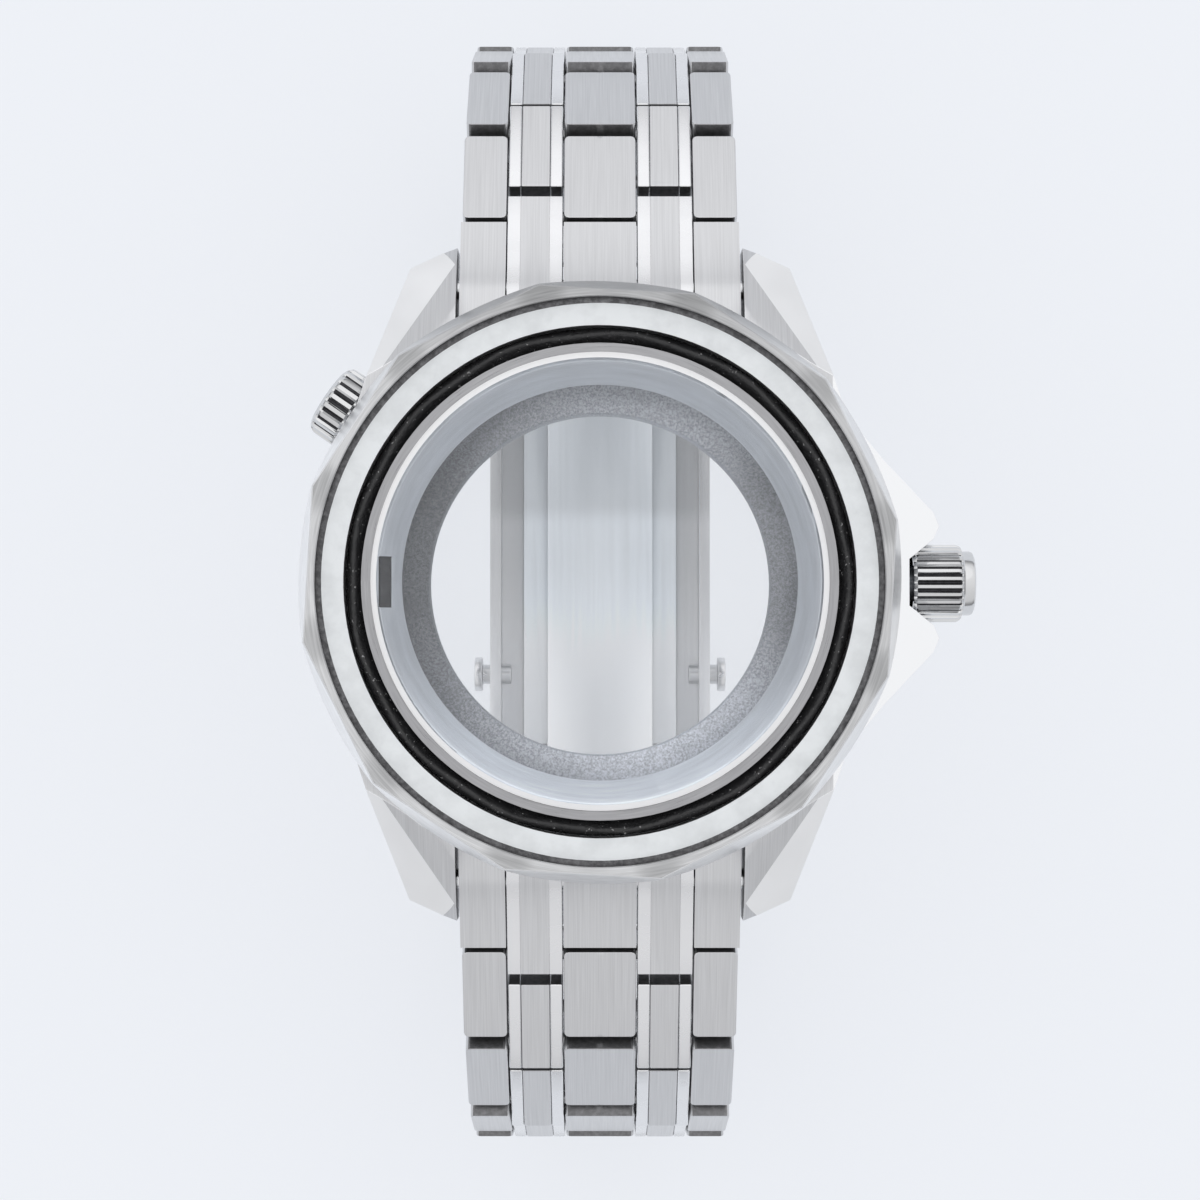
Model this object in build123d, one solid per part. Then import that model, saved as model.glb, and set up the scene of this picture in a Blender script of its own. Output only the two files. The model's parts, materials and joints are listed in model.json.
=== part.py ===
"""An empty steel diver's watch case on its closed bracelet, in millimetres.

+X points to 3 o'clock, +Y to 12 o'clock and +Z up, out of the crystal. The origin is on the case
axis at the dial seat. The bracelet hangs down both ends and closes in a folding clasp underneath.
"""
from build123d import *
import os
from math import asin, atan2, cos, degrees, hypot, radians, sin, sqrt, tan

# Mid case: the other radii follow its own
CASE_R = 20.0
DECK_Z = 0.5
CASE_BOTTOM_Z = -6.8
NECK_WALL = 0.65
NECK_TOP_Z = 3.1
DIAL_LEDGE_W = 1.15
BACK_LEDGE_Z = -5.0
BACK_LEDGE_W = 1.9
OVERRUN = 5.0

# Lugs: the plan points are for the lug at 1 o'clock, and the others mirror it
LUG_GAP = 20.0
LUG_TIP_OUT = 3.3
LUG_HIP_OUT = 2.9
LUG_WAIST_OUT = 1.2
LUG_WALL_BACK = 0.7
LUG_BAR_OUT = 1.4
LUG_BAR_TO_TIP = 1.4
LUG_TIP_TO_END = 1.5
LUG_TIP_TO_HIP = 8.3
LUG_HIP_TO_WAIST = 3.6
LUG_ROOT_SHARE = 0.5
LUG_CURVE_L = 9.6
LUG_END_TOP_Z = -3.6
LUG_CURVE_MID_SHARE = 0.58
LUG_CURVE_BULGE = 0.9
CREASE_HIP_IN, CREASE_HIP_UP = 1.0, 0.9
CREASE_END_IN, CREASE_END_BACK, CREASE_END_Z = 0.5, 0.1, -2.3
CREASE_FALL_ANGLE = 30.0
LUG_BAR_Z = -4.2
LUG_BAR_R = 0.75
LUG_BAR_DEPTH = 1.4

# Crown guards, mirrored about the crown's axis: each point is out from the case's radius
GUARD_ROOT_IN, GUARD_ROOT_Y = 3.4, 11.9
GUARD_SHOULDER_IN, GUARD_SHOULDER_Y = 0.5, 8.4
GUARD_CORNER_OUT, GUARD_CORNER_Y = 2.9, 4.8
GUARD_TIP_OUT, GUARD_TIP_Y = 3.3, 3.85
GUARD_MOUTH_Y = 2.95
GUARD_FLAT_OUT, GUARD_FLAT_Y = 1.25, 1.6

# Rotating bezel, its adhesive ring and its gasket
BEZEL_OVERHANG = 0.5
BEZEL_RIM_W = 1.3
BEZEL_LEDGE_W = 1.8
BEZEL_TOP_Z = 3.6
BEZEL_LIFT = 0.15
RECESS_DEPTH = 0.65
SCALLOPS = 12
SCALLOP_PHASE = 26.7
SCALLOP_IN = 0.8
SCALLOP_LOW_Z = 1.4
ADHESIVE_BACK = 0.3
ADHESIVE_T = 0.12
GASKET_ROOM = 1.2
GASKET_BASE_Z = 1.6
GASKET_TOP_Z = 2.4
RUNNING = 0.1

# Crystal and the rehaut ring under it
REHAUT_W = 1.5
REHAUT_RIM_BACK = 0.45
REHAUT_H = 1.7
REHAUT_KEY_DEPTH = 1.1
REHAUT_KEY_L = 0.8
REHAUT_KEY_W = 3.4
CRYSTAL_FIT = 0.05
CRYSTAL_TOP_Z = 4.2

# Case back
BACK_FIT = 0.08
BACK_RING_W = 4.12
BACK_IN_Z = -5.05
BACK_OUT_Z = -8.0
BACK_GLASS_T = 1.6
BACK_GLASS_INSET = 0.8
BACK_KEYS = 6
BACK_KEY_L, BACK_KEY_W, BACK_KEY_DEPTH = 1.4, 1.2, 0.5

# Crown, along +X
CROWN_Z = -2.9
CROWN_R = 2.7
CROWN_STANDOFF = 1.7
CROWN_L = 3.2
CROWN_TOP_RISE = 0.8
CROWN_EDGE = 0.35
CROWN_SKIRT_R = 2.0
CROWN_SKIRT_L = 2.2
FLUTES = 24
FLUTE_DEPTH = 0.26
KNOB_TOP_SHARE = 0.55
CROWN_POCKET_R = 3.05
TUBE_R = 1.25
TUBE_OUT_L, TUBE_IN_L = 1.6, 3.8
STEM_R = 0.62
STEM_FIT = 0.06
STEM_END = 0.8

# Screw-down valve at 10 o'clock, along its own radius
VALVE_ANGLE = 145.5
VALVE_Z = -2.9
VALVE_R = 2.65
VALVE_STANDOFF = 0.85
VALVE_H = 2.1
VALVE_FLUTES = 21
VALVE_EDGE = 0.35
VALVE_TOP_RISE = 0.12
VALVE_POCKET_R = 3.0
VALVE_POCKET_GAP = 0.35
VALVE_STEM_R = 0.9
VALVE_STEM_L = 4.45
VALVE_STEM_SPARE = 0.3
VALVE_SOCKET = 0.8

# Bracelet columns, from the middle outwards
CENTRE_W = 5.1
STRIP_W = 0.9
MID_W = 2.05
OUTER_W = 3.2
COLUMN_GAP = 0.1
TAPER_STEP = 0.1

# Links: outer and centre pieces start HEEL before a pin, the middle group ends TOE past the next
PITCH = 7.33
LINK_T = 3.2
HEEL = 1.0
TOE = 1.5
END_TOE = 0.9
ROW_GAP = 0.2
PIN_R = 0.5
PIN_FIT = 0.06
PIN_SIDES = 8
BEND_SPARE = 2.0
FIRST_PIN_OUT = 5.35
FIRST_PIN_Z = -6.3
END_LINK_SLOPE = 22.5
SHOWN_BENDS = (3.9, 20.6, 24.7, 23.7)
TAIL_LINKS = 3
FLAT = 180.0
END_LINK_TOP_Z = -0.3
END_LINK_BULGE = 0.5
END_LINK_GAP = 0.15

# Clasp, on its own floor plate
COVER_W = 18.0
COVER_T = 0.9
COVER_WALL = 0.9
COVER_H = 3.7
COVER_LIP = 0.9
CLASP_GAP = 0.3
OUTER_BLADE_W = 12.6
OUTER_BLADE_T = 0.8
INNER_BLADE_W = 8.6
INNER_BLADE_T = 0.8
INNER_BLADE_RISE = 2.8
BLADE_PIN_R = 0.45
KNUCKLE_W = 1.6
COVER_HINGE_BACK = 2.0
COVER_HINGE_RISE = 2.05
COVER_KNUCKLE_R = 0.85
BLADE_HINGE_IN = 7.88
BLADE_HINGE_RISE = 2.4
BLADE_KNUCKLE_R = 0.9
HOOK_T = 0.6
HOOK_FROM_ANGLE, HOOK_TO_ANGLE = 135.0, 250.0
HOOK_W = 4.6
BUTTON_IN = 6.9
BUTTON_RISE = 1.9
BUTTON_R = 1.4
BUTTON_HEAD_T = 0.65
BUTTON_TRAVEL = 0.55
BUTTON_SHANK_R = 0.8
BUTTON_CATCH_GAP = 1.0

HALF_T = LINK_T / 2
HALF_GAP = LUG_GAP / 2
BEZEL_R = CASE_R + BEZEL_OVERHANG
RECESS_R = BEZEL_R - BEZEL_RIM_W
BEZEL_BORE_R = RECESS_R - BEZEL_LEDGE_W
BEZEL_BOTTOM_Z = DECK_Z + BEZEL_LIFT
RECESS_Z = BEZEL_TOP_Z - RECESS_DEPTH
NECK_R = BEZEL_BORE_R - GASKET_ROOM
CRYSTAL_BORE_R = NECK_R - NECK_WALL
REHAUT_RIM_R = CRYSTAL_BORE_R - REHAUT_RIM_BACK
REHAUT_IN_R = REHAUT_RIM_R - REHAUT_W
MOVEMENT_BORE_R = CRYSTAL_BORE_R - DIAL_LEDGE_W
BACK_BORE_R = MOVEMENT_BORE_R + BACK_LEDGE_W
BACK_R = BACK_BORE_R - BACK_FIT
BACK_WINDOW_R = BACK_R - BACK_RING_W
CASE_WALL_R = CASE_R - LUG_WALL_BACK
LUG_BAR_Y = CASE_WALL_R + LUG_BAR_OUT
LUG_TIP_X, LUG_TIP_Y = HALF_GAP + LUG_TIP_OUT, LUG_BAR_Y + LUG_BAR_TO_TIP
LUG_HIP_X, LUG_HIP_Y = LUG_TIP_X + LUG_HIP_OUT, LUG_TIP_Y - LUG_TIP_TO_HIP
LUG_WAIST_X, LUG_WAIST_Y = LUG_HIP_X + LUG_WAIST_OUT, LUG_HIP_Y - LUG_HIP_TO_WAIST
LUG_END_Y = LUG_TIP_Y + LUG_TIP_TO_END
LUG_CURVE_START_Y = LUG_END_Y - LUG_CURVE_L
FIRST_PIN_Y = LUG_BAR_Y + FIRST_PIN_OUT
GUARD_TIP_X = CASE_R + GUARD_TIP_OUT
GUARD_FLAT_X = CASE_R + GUARD_FLAT_OUT
CROWN_IN_X = CASE_R + CROWN_STANDOFF
CROWN_RIM_X = CROWN_IN_X + CROWN_L
CROWN_FLOOR_X = CROWN_IN_X + CROWN_SKIRT_L
TUBE_IN_X, TUBE_OUT_X = CASE_R - TUBE_IN_L, CROWN_IN_X + TUBE_OUT_L
STEM_IN_X, STEM_OUT_X = TUBE_IN_X - STEM_END, CROWN_FLOOR_X + STEM_END
VALVE_IN_R = CASE_R + VALVE_STANDOFF
VALVE_OUT_R = VALVE_IN_R + VALVE_H
VALVE_STEM_IN_R = VALVE_IN_R - VALVE_STEM_L
GROUP_IN_X = CENTRE_W / 2 + COLUMN_GAP
GROUP_OUT_X = GROUP_IN_X + STRIP_W + MID_W + STRIP_W
OUTER_IN_X = GROUP_OUT_X + COLUMN_GAP
OUTER_OUT_X = OUTER_IN_X + OUTER_W


def ring(in_r, out_r, low_z, high_z):
    """A plain ring about Z."""
    height = high_z - low_z
    middle = Pos(0, 0, (low_z + high_z) / 2)
    return middle * (Cylinder(out_r, height) - Cylinder(in_r, height))


def turned(points, axis):
    """A solid of revolution from points on the XZ plane."""
    return revolve(Plane.XZ * make_face(Polyline(*points, close=True)), axis)


def rod(frame, radius, start, end):
    """A cylinder along a frame's Z from one distance to another."""
    return frame * Pos(0, 0, (start + end) / 2) * Cylinder(radius, end - start)


def bar(frame, radius, start, end):
    """A pin along a frame's Z with few sides, because pins repeat: its corners are at the radius."""
    sides = frame * Pos(0, 0, start) * RegularPolygon(radius, PIN_SIDES)
    return extrude(sides, end - start)


def bar_hole(frame, radius, start, end):
    """The hole that a pin turns in: its flats are at the radius."""
    sides = frame * Pos(0, 0, start) * RegularPolygon(radius, PIN_SIDES, major_radius=False)
    return extrude(sides, end - start)


def slab(frame, points, start, end):
    """An outline on a frame's XY plane, given depth along the frame's Z."""
    return frame * Pos(0, 0, start) * extrude(make_face(Polyline(*points, close=True)), end - start)


def block(x0, x1, y0, y1, z0, z1):
    """A box between two corners."""
    size = Box(x1 - x0, y1 - y0, z1 - z0)
    return Pos((x0 + x1) / 2, (y0 + y1) / 2, (z0 + z1) / 2) * size


def write(name, *parts):
    """One STEP file with every solid of the parts given."""
    solids = [solid for part in parts for solid in part.solids()]
    export_step(Compound(children=solids), f"parts/{name}.step")


def bend_angles(tail):
    """The slope of each link below level, from the first to the last."""
    slopes = []
    slope = END_LINK_SLOPE
    for bend in SHOWN_BENDS:
        slope += bend
        slopes.append(slope)
    return slopes + tail


def chain(slopes):
    """The pins at the start of each link, and past the last one, as (y, z)."""
    pins = [(FIRST_PIN_Y, FIRST_PIN_Z)]
    for slope in slopes:
        y, z = pins[-1]
        pins.append((y + PITCH * cos(radians(slope)), z - PITCH * sin(radians(slope))))
    return pins


def tail_slopes():
    """Even bends that bring the last link of the 6 o'clock side level, outer face down."""
    shown = bend_angles([])[-1]
    step = (FLAT - shown) / TAIL_LINKS
    return [shown + step * (count + 1) for count in range(TAIL_LINKS)]


SLOPES_6 = bend_angles(tail_slopes())
PINS_6 = chain(SLOPES_6)
FLOOR_Z = PINS_6[-1][1] - HALF_T


def resting_slope():
    """The slope that sets the toe of the 12 o'clock side's last link on the clasp's level."""
    drop = chain(SLOPES_6[:-2])[-1][1] - FLOOR_Z
    reach = PITCH + TOE
    return FLAT - degrees(asin(drop / hypot(reach, HALF_T))) + degrees(atan2(HALF_T, reach))


SLOPES_12 = SLOPES_6[:-2] + [resting_slope()]
PINS_12 = chain(SLOPES_12)
BAR_Y, BAR_Z = -PINS_6[-1][0], PINS_6[-1][1]
HOOK_Y, HOOK_Z = PINS_12[-1]
COVER_START_Y = BAR_Y - COVER_LIP
COVER_END_Y = HOOK_Y - hypot(TOE, HALF_T) - CLASP_GAP
COVER_HINGE_Y = COVER_END_Y - COVER_HINGE_BACK
COVER_HINGE_Z = FLOOR_Z + COVER_HINGE_RISE
BLADE_HINGE_Y = BAR_Y + BLADE_HINGE_IN
BLADE_HINGE_Z = FLOOR_Z + BLADE_HINGE_RISE
BUTTON_Y = BLADE_HINGE_Y + BUTTON_IN
COVER_IN_X = COVER_W / 2 - COVER_WALL


def link_frame(side, pin, slope):
    """A frame at a pin: X along the link, Y out of its outer face, Z across it."""
    y, z = pin
    along = (0, side * cos(radians(slope)), -sin(radians(slope)))
    return Plane(origin=(0, side * y, z), x_dir=along, z_dir=(side, 0, 0))


def piece_outline(bend):
    """An outer or centre piece, its heel cut back below so that the pin can bend."""
    undercut = HALF_T * tan(radians(bend + BEND_SPARE))
    end = PITCH - HEEL - ROW_GAP
    return [(-HEEL, 0), (-HEEL, HALF_T), (end, HALF_T), (end, -HALF_T), (undercut - HEEL, -HALF_T)]


def group_outline(bend):
    """A middle group, its toe cut back below in the same way for the next pin."""
    undercut = HALF_T * tan(radians(bend + BEND_SPARE))
    start = TOE + ROW_GAP
    end = PITCH + TOE
    return [(start, -HALF_T), (start, HALF_T), (end, HALF_T), (end, 0), (end - undercut, -HALF_T)]


def link(side, pin, slope, bend, next_bend, narrowing):
    """One link: its outer and centre pieces on their pin, and the two middle groups they carry."""
    frame = link_frame(side, pin, slope)
    outline = piece_outline(bend)
    outer_x = OUTER_OUT_X - narrowing
    pieces = slab(frame, outline, -CENTRE_W / 2, CENTRE_W / 2)
    pieces += slab(frame, outline, OUTER_IN_X, outer_x)
    pieces += slab(frame, outline, -outer_x, -OUTER_IN_X)
    pieces += bar(frame, PIN_R, -OUTER_IN_X, OUTER_IN_X)
    groups = []
    for sign in (-1, 1):
        group_x = sorted((sign * GROUP_IN_X, sign * GROUP_OUT_X))
        group = slab(frame, group_outline(next_bend), *group_x)
        groups.append(group - bar_hole(frame * Pos(PITCH, 0, 0), PIN_R + PIN_FIT, *group_x))
    return [pieces, *groups]


def bracelet_half(name, side, slopes, pins, last_bend):
    """Every link of one half, each a node."""
    for count, slope in enumerate(slopes):
        bend = slope - (slopes[count - 1] if count else END_LINK_SLOPE)
        next_bend = slopes[count + 1] - slope if count + 1 < len(slopes) else last_bend
        narrowing = TAPER_STEP * (count + 1)
        write(f"link_{name}_{count + 1}", *link(side, pins[count], slope, bend, next_bend, narrowing))


def end_link(side):
    """The link between the lugs: curved down from the case, with two toes over the first pin."""
    frame = link_frame(side, (FIRST_PIN_Y, FIRST_PIN_Z), END_LINK_SLOPE)
    slope = radians(END_LINK_SLOPE)
    back = HEEL + ROW_GAP
    top = (FIRST_PIN_Y - back * cos(slope) + HALF_T * sin(slope),
           FIRST_PIN_Z + back * sin(slope) + HALF_T * cos(slope))
    low = (FIRST_PIN_Y - back * cos(slope) - HALF_T * sin(slope),
           FIRST_PIN_Z + back * sin(slope) - HALF_T * cos(slope))
    start_y = MOVEMENT_BORE_R
    wall_y = CASE_WALL_R + END_LINK_GAP
    middle = ((wall_y + top[0]) / 2 + END_LINK_BULGE, (END_LINK_TOP_Z + top[1]) / 2 + END_LINK_BULGE)
    low_z = CASE_BOTTOM_Z + END_LINK_GAP
    outline = make_face([
        Line((start_y, low_z), (start_y, END_LINK_TOP_Z)),
        Line((start_y, END_LINK_TOP_Z), (wall_y, END_LINK_TOP_Z)),
        ThreePointArc((wall_y, END_LINK_TOP_Z), middle, top),
        Line(top, low),
        Line(low, (LUG_BAR_Y, low_z)),
        Line((LUG_BAR_Y, low_z), (start_y, low_z)),
    ])
    half_w = OUTER_OUT_X
    body = Pos(-half_w, 0, 0) * extrude(Plane.YZ * outline, half_w + half_w)
    if side < 0:
        body = mirror(body, Plane.XZ)
    undercut = HALF_T * tan(radians(SHOWN_BENDS[0] + BEND_SPARE))
    toe = [(-back - HALF_T, -HALF_T), (-back - HALF_T, HALF_T), (END_TOE, HALF_T), (END_TOE, 0),
           (END_TOE - undercut, -HALF_T)]
    for sign in (-1, 1):
        group_x = sorted((sign * GROUP_IN_X, sign * GROUP_OUT_X))
        body += slab(frame, toe, *group_x)
    body -= bar_hole(frame, PIN_R + PIN_FIT, -OUTER_IN_X, OUTER_IN_X)
    body -= rod(Plane.XY, wall_y, CASE_BOTTOM_Z - OVERRUN, DECK_Z + OVERRUN)
    return body - lug_bar(side, LUG_BAR_R, half_w)


def lug_bar(side, radius, half_length):
    """A bar across the lugs at one end of the case."""
    frame = Plane(origin=(0, side * LUG_BAR_Y, LUG_BAR_Z), z_dir=(1, 0, 0))
    return bar(frame, radius, -half_length, half_length)


def crown_frame():
    return Plane(origin=(0, 0, CROWN_Z), z_dir=(1, 0, 0))


def valve_frame():
    turn = radians(VALVE_ANGLE)
    return Plane(origin=(0, 0, VALVE_Z), z_dir=(cos(turn), sin(turn), 0))


def case_plan():
    """The case seen from above: a round body, four lugs and the crown guards."""
    plan = Circle(CASE_R)
    root_y = CASE_R * LUG_ROOT_SHARE
    lug = [(HALF_GAP, root_y), (LUG_WAIST_X, LUG_WAIST_Y), (LUG_HIP_X, LUG_HIP_Y),
           (LUG_TIP_X, LUG_TIP_Y), (HALF_GAP, LUG_END_Y)]
    for sign_x in (-1, 1):
        for sign_y in (-1, 1):
            plan += make_face(Polyline(*[(sign_x * x, sign_y * y) for x, y in lug], close=True))
    corner_x = CASE_R + GUARD_CORNER_OUT
    guard = [(CASE_R - GUARD_ROOT_IN, GUARD_ROOT_Y), (CASE_R - GUARD_SHOULDER_IN, GUARD_SHOULDER_Y),
             (corner_x, GUARD_CORNER_Y), (GUARD_TIP_X, GUARD_TIP_Y),
             (corner_x, GUARD_MOUTH_Y), (GUARD_FLAT_X, GUARD_FLAT_Y)]
    mirrored = [(x, -y) for x, y in reversed(guard)]
    return plan + make_face(Polyline(*guard, *mirrored, close=True))


def case_side():
    """The case seen from 3 o'clock: flat on top, with the lugs curving down."""
    share = LUG_CURVE_MID_SHARE
    middle = (LUG_CURVE_START_Y + share * (LUG_END_Y - LUG_CURVE_START_Y),
              (DECK_Z + LUG_END_TOP_Z) / 2 + LUG_CURVE_BULGE)
    start = (LUG_CURVE_START_Y, DECK_Z)
    end = (LUG_END_Y, LUG_END_TOP_Z)
    half = make_face([
        Line((0, DECK_Z), start),
        ThreePointArc(start, middle, end),
        Line(end, (LUG_END_Y, CASE_BOTTOM_Z)),
        Line((LUG_END_Y, CASE_BOTTOM_Z), (0, CASE_BOTTOM_Z)),
        Line((0, CASE_BOTTOM_Z), (0, DECK_Z)),
    ])
    reach = GUARD_TIP_X + OVERRUN
    solid = Pos(-reach, 0, 0) * extrude(Plane.YZ * half, reach + reach)
    return solid + mirror(solid, Plane.XZ)


def lug_bevel():
    """What the wide bevel takes off the lug at 1 o'clock, outside the crease across its top."""
    start = Vector(LUG_HIP_X - CREASE_HIP_IN, LUG_HIP_Y + CREASE_HIP_UP, DECK_Z)
    end = Vector(HALF_GAP + CREASE_END_IN, LUG_TIP_Y - CREASE_END_BACK, CREASE_END_Z)
    along = (end - start).normalized()
    outward = along.cross(Vector(0, 0, 1)).normalized()
    upward = outward.cross(along)
    fall = radians(CREASE_FALL_ANGLE)
    frame = Plane(origin=start, x_dir=along, z_dir=outward * sin(fall) + upward * cos(fall))
    length = (end - start).length
    return frame * slab(Plane.XY, [(-OVERRUN, -OVERRUN), (length + OVERRUN, -OVERRUN),
                                   (length + OVERRUN, OVERRUN), (-OVERRUN, OVERRUN)], 0, OVERRUN)


def mid_case():
    """The case middle, bored for the crystal, the movement, the back, the crown and the valve."""
    height = DECK_Z - CASE_BOTTOM_Z
    case = Pos(0, 0, CASE_BOTTOM_Z) * extrude(case_plan(), height) & case_side()
    bevels = lug_bevel()
    bevels += mirror(bevels, Plane.YZ)
    case -= bevels + mirror(bevels, Plane.XZ)
    for side in (-1, 1):
        y_low, y_high = sorted((side * MOVEMENT_BORE_R, side * (LUG_END_Y + OVERRUN)))
        slot = block(-HALF_GAP, HALF_GAP, y_low, y_high, CASE_BOTTOM_Z - OVERRUN, DECK_Z + OVERRUN)
        case -= slot - rod(Plane.XY, CASE_WALL_R, CASE_BOTTOM_Z - OVERRUN, DECK_Z + OVERRUN)
        case -= lug_bar(side, LUG_BAR_R, HALF_GAP + LUG_BAR_DEPTH)
    case += rod(Plane.XY, NECK_R, DECK_Z, NECK_TOP_Z)
    case -= rod(Plane.XY, CRYSTAL_BORE_R, 0, NECK_TOP_Z)
    case -= rod(Plane.XY, MOVEMENT_BORE_R, BACK_LEDGE_Z, 0)
    case -= rod(Plane.XY, BACK_BORE_R, CASE_BOTTOM_Z, BACK_LEDGE_Z)
    case -= rod(crown_frame(), TUBE_R, 0, GUARD_TIP_X)
    case -= rod(crown_frame(), CROWN_POCKET_R, GUARD_FLAT_X, GUARD_TIP_X + OVERRUN)
    case -= rod(valve_frame(), VALVE_POCKET_R, VALVE_IN_R - VALVE_POCKET_GAP, VALVE_OUT_R + OVERRUN)
    return case - rod(valve_frame(), VALVE_STEM_R + STEM_FIT, VALVE_STEM_IN_R - VALVE_STEM_SPARE, VALVE_OUT_R)


def bezel():
    """The rotating bezel, with slanted scallops round its edge and a recess for its missing insert."""
    body = turned([(BEZEL_BORE_R, BEZEL_BOTTOM_Z), (BEZEL_R, BEZEL_BOTTOM_Z), (BEZEL_R, BEZEL_TOP_Z),
                   (RECESS_R, BEZEL_TOP_Z), (RECESS_R, RECESS_Z), (BEZEL_BORE_R, RECESS_Z)], Axis.Z)
    fall = BEZEL_TOP_Z - SCALLOP_LOW_Z
    lean = degrees(atan2(SCALLOP_IN, fall))
    foot = Pos(BEZEL_R, 0, SCALLOP_LOW_Z) * Rot(0, -lean, 0)
    cutter = foot * block(0, OVERRUN, -BEZEL_R, BEZEL_R, 0, fall + OVERRUN)
    for count in range(SCALLOPS):
        body -= Rot(0, 0, SCALLOP_PHASE + count * 360 / SCALLOPS) * cutter
    return body


def rehaut():
    """The sloping ring between the crystal and the dial seat, with its key slot at 9 o'clock."""
    outer_r = CRYSTAL_BORE_R
    body = turned([(REHAUT_IN_R, 0), (outer_r, 0), (outer_r, REHAUT_H), (REHAUT_RIM_R, REHAUT_H)], Axis.Z)
    half_w = REHAUT_KEY_W / 2
    return body - block(-REHAUT_RIM_R, REHAUT_KEY_L - REHAUT_RIM_R, -half_w, half_w,
                        REHAUT_H - REHAUT_KEY_DEPTH, REHAUT_H + OVERRUN)


def back_ring():
    """The screwed case back's ring, with key slots in its outer face."""
    body = ring(BACK_WINDOW_R, BACK_R, BACK_OUT_Z, BACK_IN_Z)
    half_w = BACK_KEY_W / 2
    slot = block(BACK_R - BACK_KEY_L, BACK_R + OVERRUN, -half_w, half_w,
                 BACK_OUT_Z - OVERRUN, BACK_OUT_Z + BACK_KEY_DEPTH)
    for count in range(BACK_KEYS):
        body -= Rot(0, 0, count * 360 / BACK_KEYS) * slot
    return body


def fluted(frame, body, radius, count, start, end):
    """Cuts V-shaped flutes along a knob's edge, past both ends of it."""
    width = FLUTE_DEPTH * sqrt(2)
    length = end - start + OVERRUN + OVERRUN
    cutter = Pos(radius, 0, (start + end) / 2) * Rot(0, 0, 45) * Box(width, width, length)
    pitch = 360 / count
    for step in range(count):
        body -= frame * Rot(0, 0, pitch / 2 + step * pitch) * cutter
    return body


def knob(frame, radius, start, rim, end, edge):
    """A round knob along a frame's Z, bevelled at its outer rim and again up to its flat top."""
    shoulder = rim + edge
    body = rod(Plane.XY, radius, start, shoulder)
    body = chamfer(body.edges().group_by(Axis.Z)[-1], edge)
    face_r = radius - edge
    rise = end - shoulder
    return frame * (body + Pos(0, 0, shoulder + rise / 2) * Cone(face_r, face_r * KNOB_TOP_SHARE, rise))


def crown():
    frame = crown_frame()
    body = knob(frame, CROWN_R, CROWN_IN_X, CROWN_RIM_X, CROWN_RIM_X + CROWN_TOP_RISE, CROWN_EDGE)
    body -= rod(frame, CROWN_SKIRT_R, CROWN_IN_X, CROWN_FLOOR_X)
    body -= rod(frame, STEM_R + STEM_FIT, CROWN_FLOOR_X, STEM_OUT_X + STEM_FIT)
    return fluted(frame, body, CROWN_R, FLUTES, CROWN_IN_X, CROWN_RIM_X)


def valve_knob():
    frame = valve_frame()
    rim = VALVE_OUT_R - VALVE_EDGE
    body = knob(frame, VALVE_R, VALVE_IN_R, rim, VALVE_OUT_R + VALVE_TOP_RISE, VALVE_EDGE)
    body -= rod(frame, VALVE_STEM_R + STEM_FIT, VALVE_IN_R, VALVE_IN_R + VALVE_SOCKET)
    return fluted(frame, body, VALVE_R, VALVE_FLUTES, VALVE_IN_R, rim)


def clasp_cover():
    """The folded cover: a floor plate, two side walls and the ways through for the buttons."""
    high_z = FLOOR_Z + COVER_H
    half_w = COVER_W / 2
    plate_start = BAR_Y + TOE + CLASP_GAP
    cover = block(-half_w, half_w, plate_start, COVER_END_Y, FLOOR_Z, FLOOR_Z + COVER_T)
    for sign in (-1, 1):
        x_low, x_high = sorted((sign * COVER_IN_X, sign * half_w))
        cover += block(x_low, x_high, COVER_START_Y, COVER_END_Y, FLOOR_Z, high_z)
    return cover - button_rod(BUTTON_SHANK_R + STEM_FIT, -half_w, half_w)


def button_rod(radius, start, end):
    return rod(Plane(origin=(0, BUTTON_Y, FLOOR_Z + BUTTON_RISE), z_dir=(1, 0, 0)), radius, start, end)


def cross_frame(y, z):
    """A frame across the bracelet, its Z along +X."""
    return Plane(origin=(0, y, z), z_dir=(1, 0, 0))


def cross_pin(y, z, radius, half_length):
    return bar(cross_frame(y, z), radius, -half_length, half_length)


def knuckle_pair(y, z, radius):
    """The two outer knuckles of the outer blade at a hinge."""
    pair = Part()
    for sign in (-1, 1):
        x_low, x_high = sorted((sign * (OUTER_BLADE_W / 2 - KNUCKLE_W), sign * OUTER_BLADE_W / 2))
        pair += rod(cross_frame(y, z), radius, x_low, x_high)
    return pair


def outer_blade():
    """The blade hinged to the cover, with an arm to each of its four knuckles."""
    low_z = FLOOR_Z + COVER_T + CLASP_GAP
    high_z = low_z + OUTER_BLADE_T
    half_w = OUTER_BLADE_W / 2
    plate_start = BLADE_HINGE_Y + BLADE_KNUCKLE_R + CLASP_GAP
    plate_end = COVER_HINGE_Y - COVER_KNUCKLE_R - CLASP_GAP
    blade = block(-half_w, half_w, plate_start, plate_end, low_z, high_z)
    for sign in (-1, 1):
        x_low, x_high = sorted((sign * (half_w - KNUCKLE_W), sign * half_w))
        blade += block(x_low, x_high, BLADE_HINGE_Y, COVER_HINGE_Y, low_z, high_z)
    blade += knuckle_pair(COVER_HINGE_Y, COVER_HINGE_Z, COVER_KNUCKLE_R)
    blade += knuckle_pair(BLADE_HINGE_Y, BLADE_HINGE_Z, BLADE_KNUCKLE_R)
    cover_hinge = cross_frame(COVER_HINGE_Y, COVER_HINGE_Z)
    blade -= bar_hole(cover_hinge, BLADE_PIN_R + PIN_FIT, -half_w, half_w)
    return blade - cross_pin(BLADE_HINGE_Y, BLADE_HINGE_Z, BLADE_PIN_R, half_w)


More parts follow.
